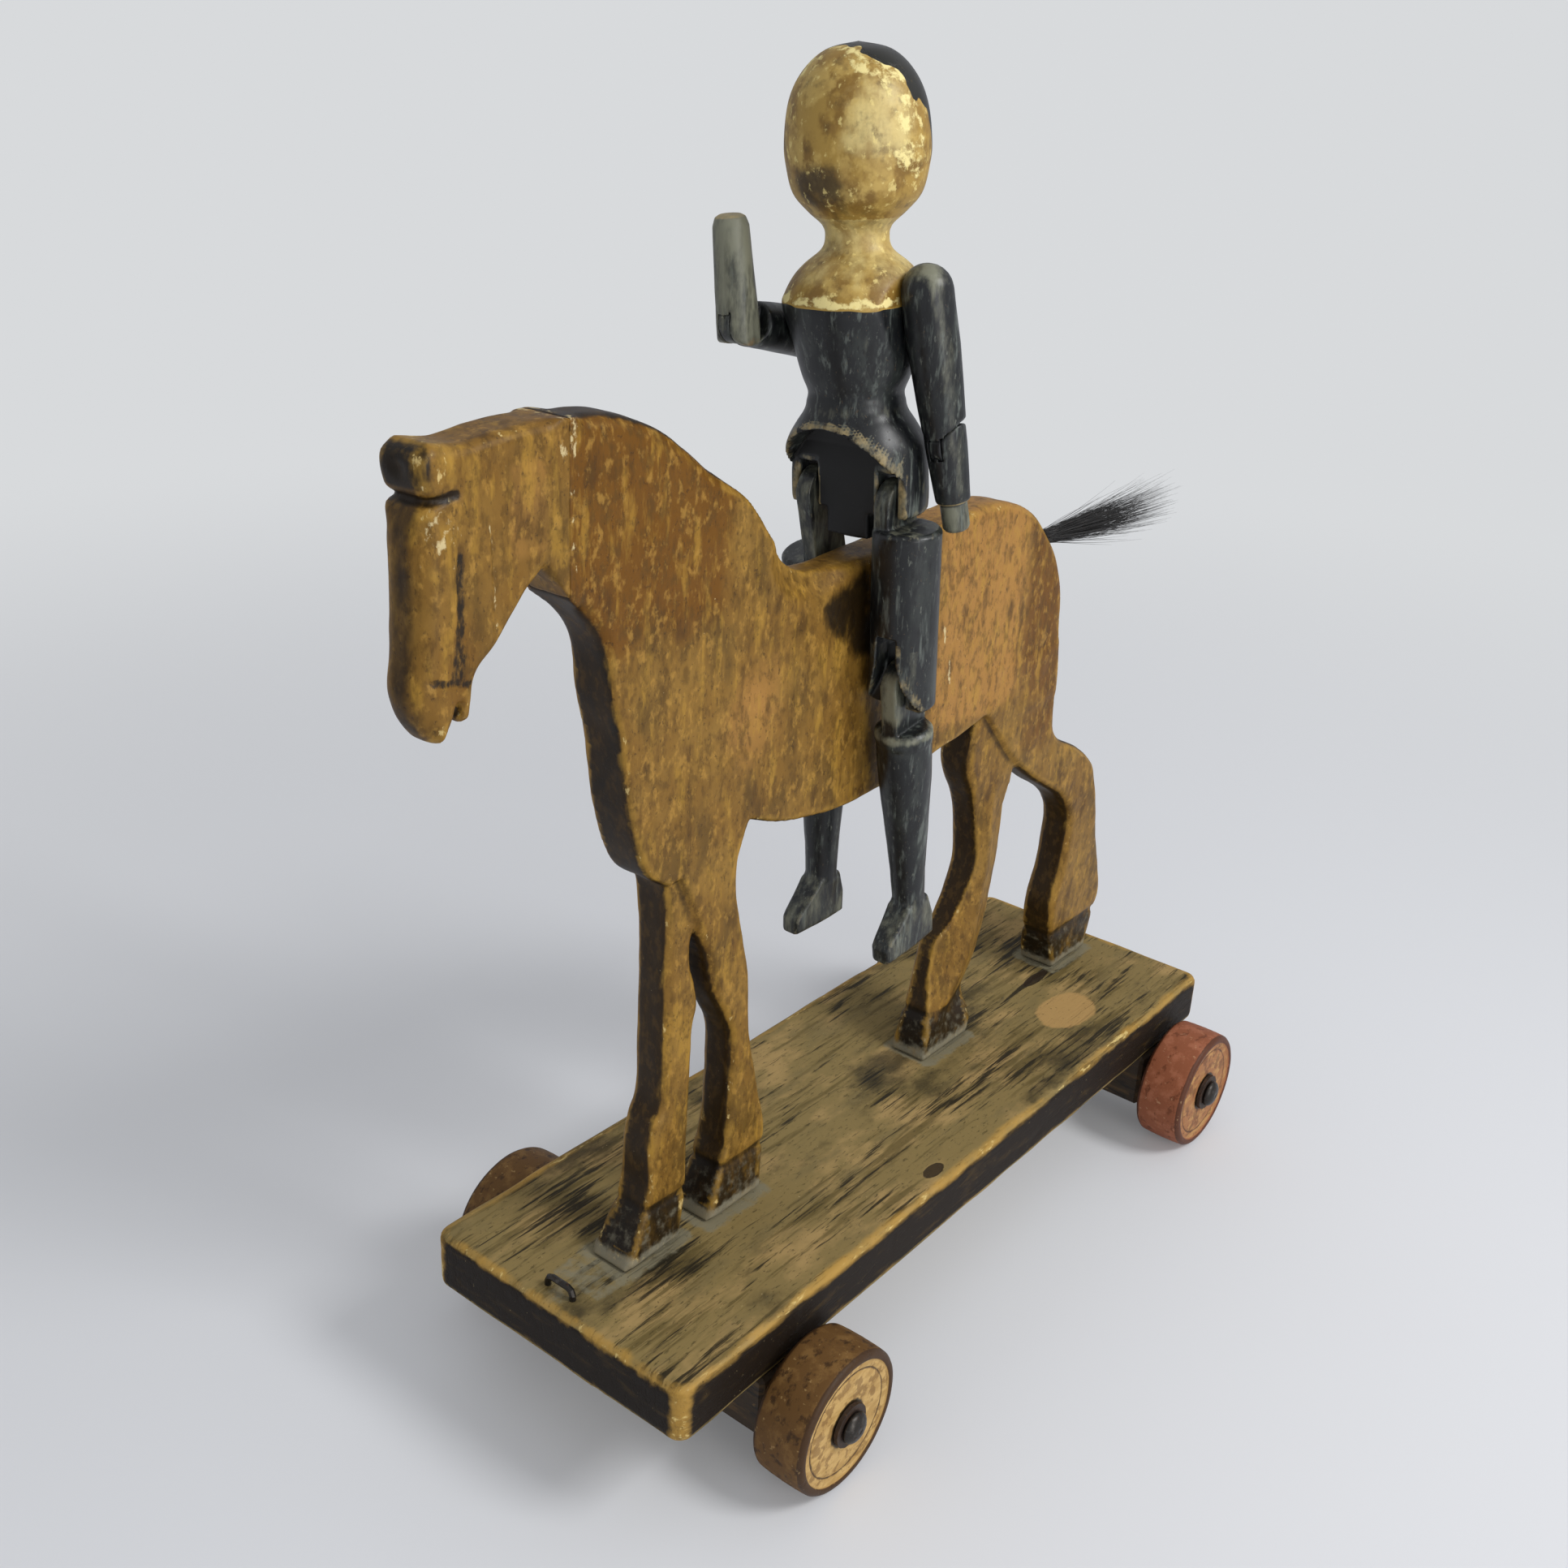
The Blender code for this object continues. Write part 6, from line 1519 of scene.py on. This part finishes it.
        def lower_marks(spot: Spot, marks: Marks) -> Marks:
            """Pale grey ring below the knee, worn ankle and a grey, scuffed foot."""
            x, y, z = spot
            ring = hump(z, -12.2, 1.5) * 0.9 * (np.hypot(x, y) > 5.4)
            cheek = 0.55 * between(z, -10, -6) + 0.3 * between(x, 3, 5) * between(z, -11, -8)
            foot = fading(z, -62, -57)
            bare = 0.5 * fading(z, sole, sole + 3.0) * between(x, 2, 9)
            return kept(marks, bloom=np.maximum(0.15 + 0.45 * foot, np.maximum(ring, cheek)),
                        rim=ring * 0.55, bare=bare, wear=arris(marks, 1.1, 0.9))

        self.carve(f"{name}_lower_leg", bodies, (-8, -8.2, sole - 1.2), (14.5, 8.2, 7.2), 0.4,
                   knee, lower, lower_marks)


# ---------------------------------------------------------------- studio


@dataclass
class Studio:
    """Pale floor, soft lights and the camera at the photograph's angle."""

    paper: str = "#e0e1e4"
    floor_level: float = 0.0

    def build(self) -> None:
        """Lay the floor, hang the lights and set the camera."""
        self.floor()
        self.lights()
        self.camera()

    def floor(self) -> None:
        """Sweep a sheet of pale paper: flat underfoot, curving up far behind.

        The paper's height is zero up to a bend and a quarter circle beyond it. The camera
        alone sees a plain glow mixed into the paper, with a share that grows with the
        distance from the toy. The glow lights nothing.
        """
        flat_run, bend, climb = 1.2, 0.6, 3.0
        across = np.linspace(-3.0, 3.0, 25)
        along = np.linspace(0, 1, 60)
        run = 4.0 * along - 1.6
        beyond = np.maximum(run - flat_run, 0)
        turn = np.minimum(beyond / bend, math.pi / 2)
        far = np.minimum(run, flat_run) + bend * np.sin(turn)
        high = bend * (1 - np.cos(turn)) + np.maximum(beyond - bend * math.pi / 2, 0) * climb
        u, v = np.meshgrid(across, far, indexing="ij")
        w = np.broadcast_to(high, u.shape)
        away = np.array([-0.787, -0.617])
        side = np.array([0.617, -0.787])
        spots = np.stack([u * side[0] + v * away[0], u * side[1] + v * away[1],
                          w + self.floor_level], -1).reshape(-1, 3)
        rows = np.arange(len(across) - 1)[:, None] * len(far)
        cols = np.arange(len(far) - 1)[None]
        quads = np.stack([rows + cols, rows + len(far) + cols, rows + len(far) + cols + 1,
                          rows + cols + 1], -1).reshape(-1, 4)
        made = mesh_object("studio_paper", spots / MM - TOY_ORIGIN, quads, np.eye(4))
        paper = Finish("matt_pale_background_paper", self.paper, 0.95, (
            Coat("#d8d9dc", (900, 900, 900), -0.1, 0.1, 0.6, 0.95, detail=1.0),),
            specular=0.1)
        finish = paper.material()
        tree = finish.node_tree
        shader = tree.nodes["Principled BSDF"]
        out = next(node for node in tree.nodes if node.type == "OUTPUT_MATERIAL")
        seen = add_node(tree, "ShaderNodeLightPath").outputs["Is Camera Ray"]
        place = add_node(tree, "ShaderNodeTexCoord").outputs["Object"]
        distance = add_node(tree, "ShaderNodeVectorMath", {"operation": "LENGTH"}, {0: place})
        farness = add_node(tree, "ShaderNodeMapRange", {"interpolation_type": "SMOOTHSTEP"},
                           {"Value": distance.outputs["Value"], "From Min": 0.15,
                            "From Max": 1.0, "To Min": 0.12, "To Max": 0.97})
        share = add_node(tree, "ShaderNodeMath", {"operation": "MULTIPLY"},
                         {0: seen, 1: farness.outputs["Result"]})
        glow = add_node(tree, "ShaderNodeEmission", None,
                        {"Color": linear("#d9dbdd"), "Strength": 1.0})
        mixed = add_node(tree, "ShaderNodeMixShader", None,
                         {0: share.outputs[0], 1: shader.outputs[0], 2: glow.outputs[0]})
        tree.links.new(mixed.outputs[0], out.inputs["Surface"])
        made.data.materials.append(finish)

    def lights(self) -> None:
        """Hang a key light high on the +Y side, a broad one low beside it, and an even sky."""
        scene = bpy.context.scene
        world = bpy.data.worlds.new("studio_air")
        world.use_nodes = True
        sky = world.node_tree.nodes["Background"]
        sky.inputs["Color"].default_value = linear("#eceef2")
        tree = world.node_tree
        seen = add_node(tree, "ShaderNodeLightPath").outputs["Is Camera Ray"]
        behind = add_node(tree, "ShaderNodeBackground", None,
                          {"Color": linear("#d9dbdd"), "Strength": 1.0})
        air = add_node(tree, "ShaderNodeMixShader", None,
                       {0: seen, 1: sky.outputs[0], 2: behind.outputs[0]})
        out = next(node for node in tree.nodes if node.type == "OUTPUT_WORLD")
        tree.links.new(air.outputs[0], out.inputs["Surface"])
        sky.inputs["Strength"].default_value = 0.64
        scene.world = world
        for name, place, aim, size, power in (
                ("key_light", (-0.22, 0.85, 0.95), (-0.02, 0.0, 0.12), 0.36, 7.4),
                ("side_light", (0.25, 1.0, 0.32), (0.0, 0.0, 0.14), 0.45, 3.0)):
            lamp = bpy.data.lights.new(name, "AREA")
            lamp.size = size
            lamp.energy = power
            made = bpy.data.objects.new(name, lamp)
            scene.collection.objects.link(made)
            direction = Vector(aim) - Vector(place)
            made.rotation_euler = direction.to_track_quat("-Z", "Y").to_euler()
            made.location = place

    def camera(self) -> None:
        """Stand the camera where the photograph was taken."""
        lens = bpy.data.cameras.new("photo_camera")
        lens.lens = 38.05
        lens.sensor_width = 36.0
        lens.sensor_fit = "HORIZONTAL"
        lens.shift_x = 0.001
        made = bpy.data.objects.new("photo_camera", lens)
        bpy.context.scene.collection.objects.link(made)
        made.matrix_world = Matrix(((-0.631818, -0.284182, 0.721142, 0.305992),
                                    (0.773739, -0.286675, 0.564930, 0.216556),
                                    (0.046190, 0.914909, 0.401009, 0.301998),
                                    (0.0, 0.0, 0.0, 1.0)))
        bpy.context.scene.camera = made


def dress_packed(nodes: dict[str, bpy.types.Object]) -> None:
    """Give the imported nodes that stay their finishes, by what each is made of."""
    for name, node in nodes.items():
        if "washer" in name:
            finish = LEATHER
        elif "axle_block" in name and "nail" not in name:
            finish = BLOCK_PAINT
        elif "nail" in name or "staple" in name:
            finish = IRON
        elif "dowel" in name or "peg" in name:
            finish = BARE_WOOD
        else:
            continue
        for place in node.material_slots:
            place.material = finish.material()


def main() -> None:
    """Load the frame, build each sub-assembly in order and report it."""
    logging.basicConfig(level=logging.INFO, format="%(message)s")
    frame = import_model()
    bodies = {name: node.parent.name.split(":")[-1] for name, node in frame["nodes"].items()}
    bpy.context.scene.view_settings.view_transform = "Standard"
    Studio().build()
    Board().build()
    RunningGear().build(bodies)
    Horse().build()
    Tail().build()
    Rider().build(bodies)
    dress_packed(frame["nodes"])


if __name__ == "__main__":
    main()
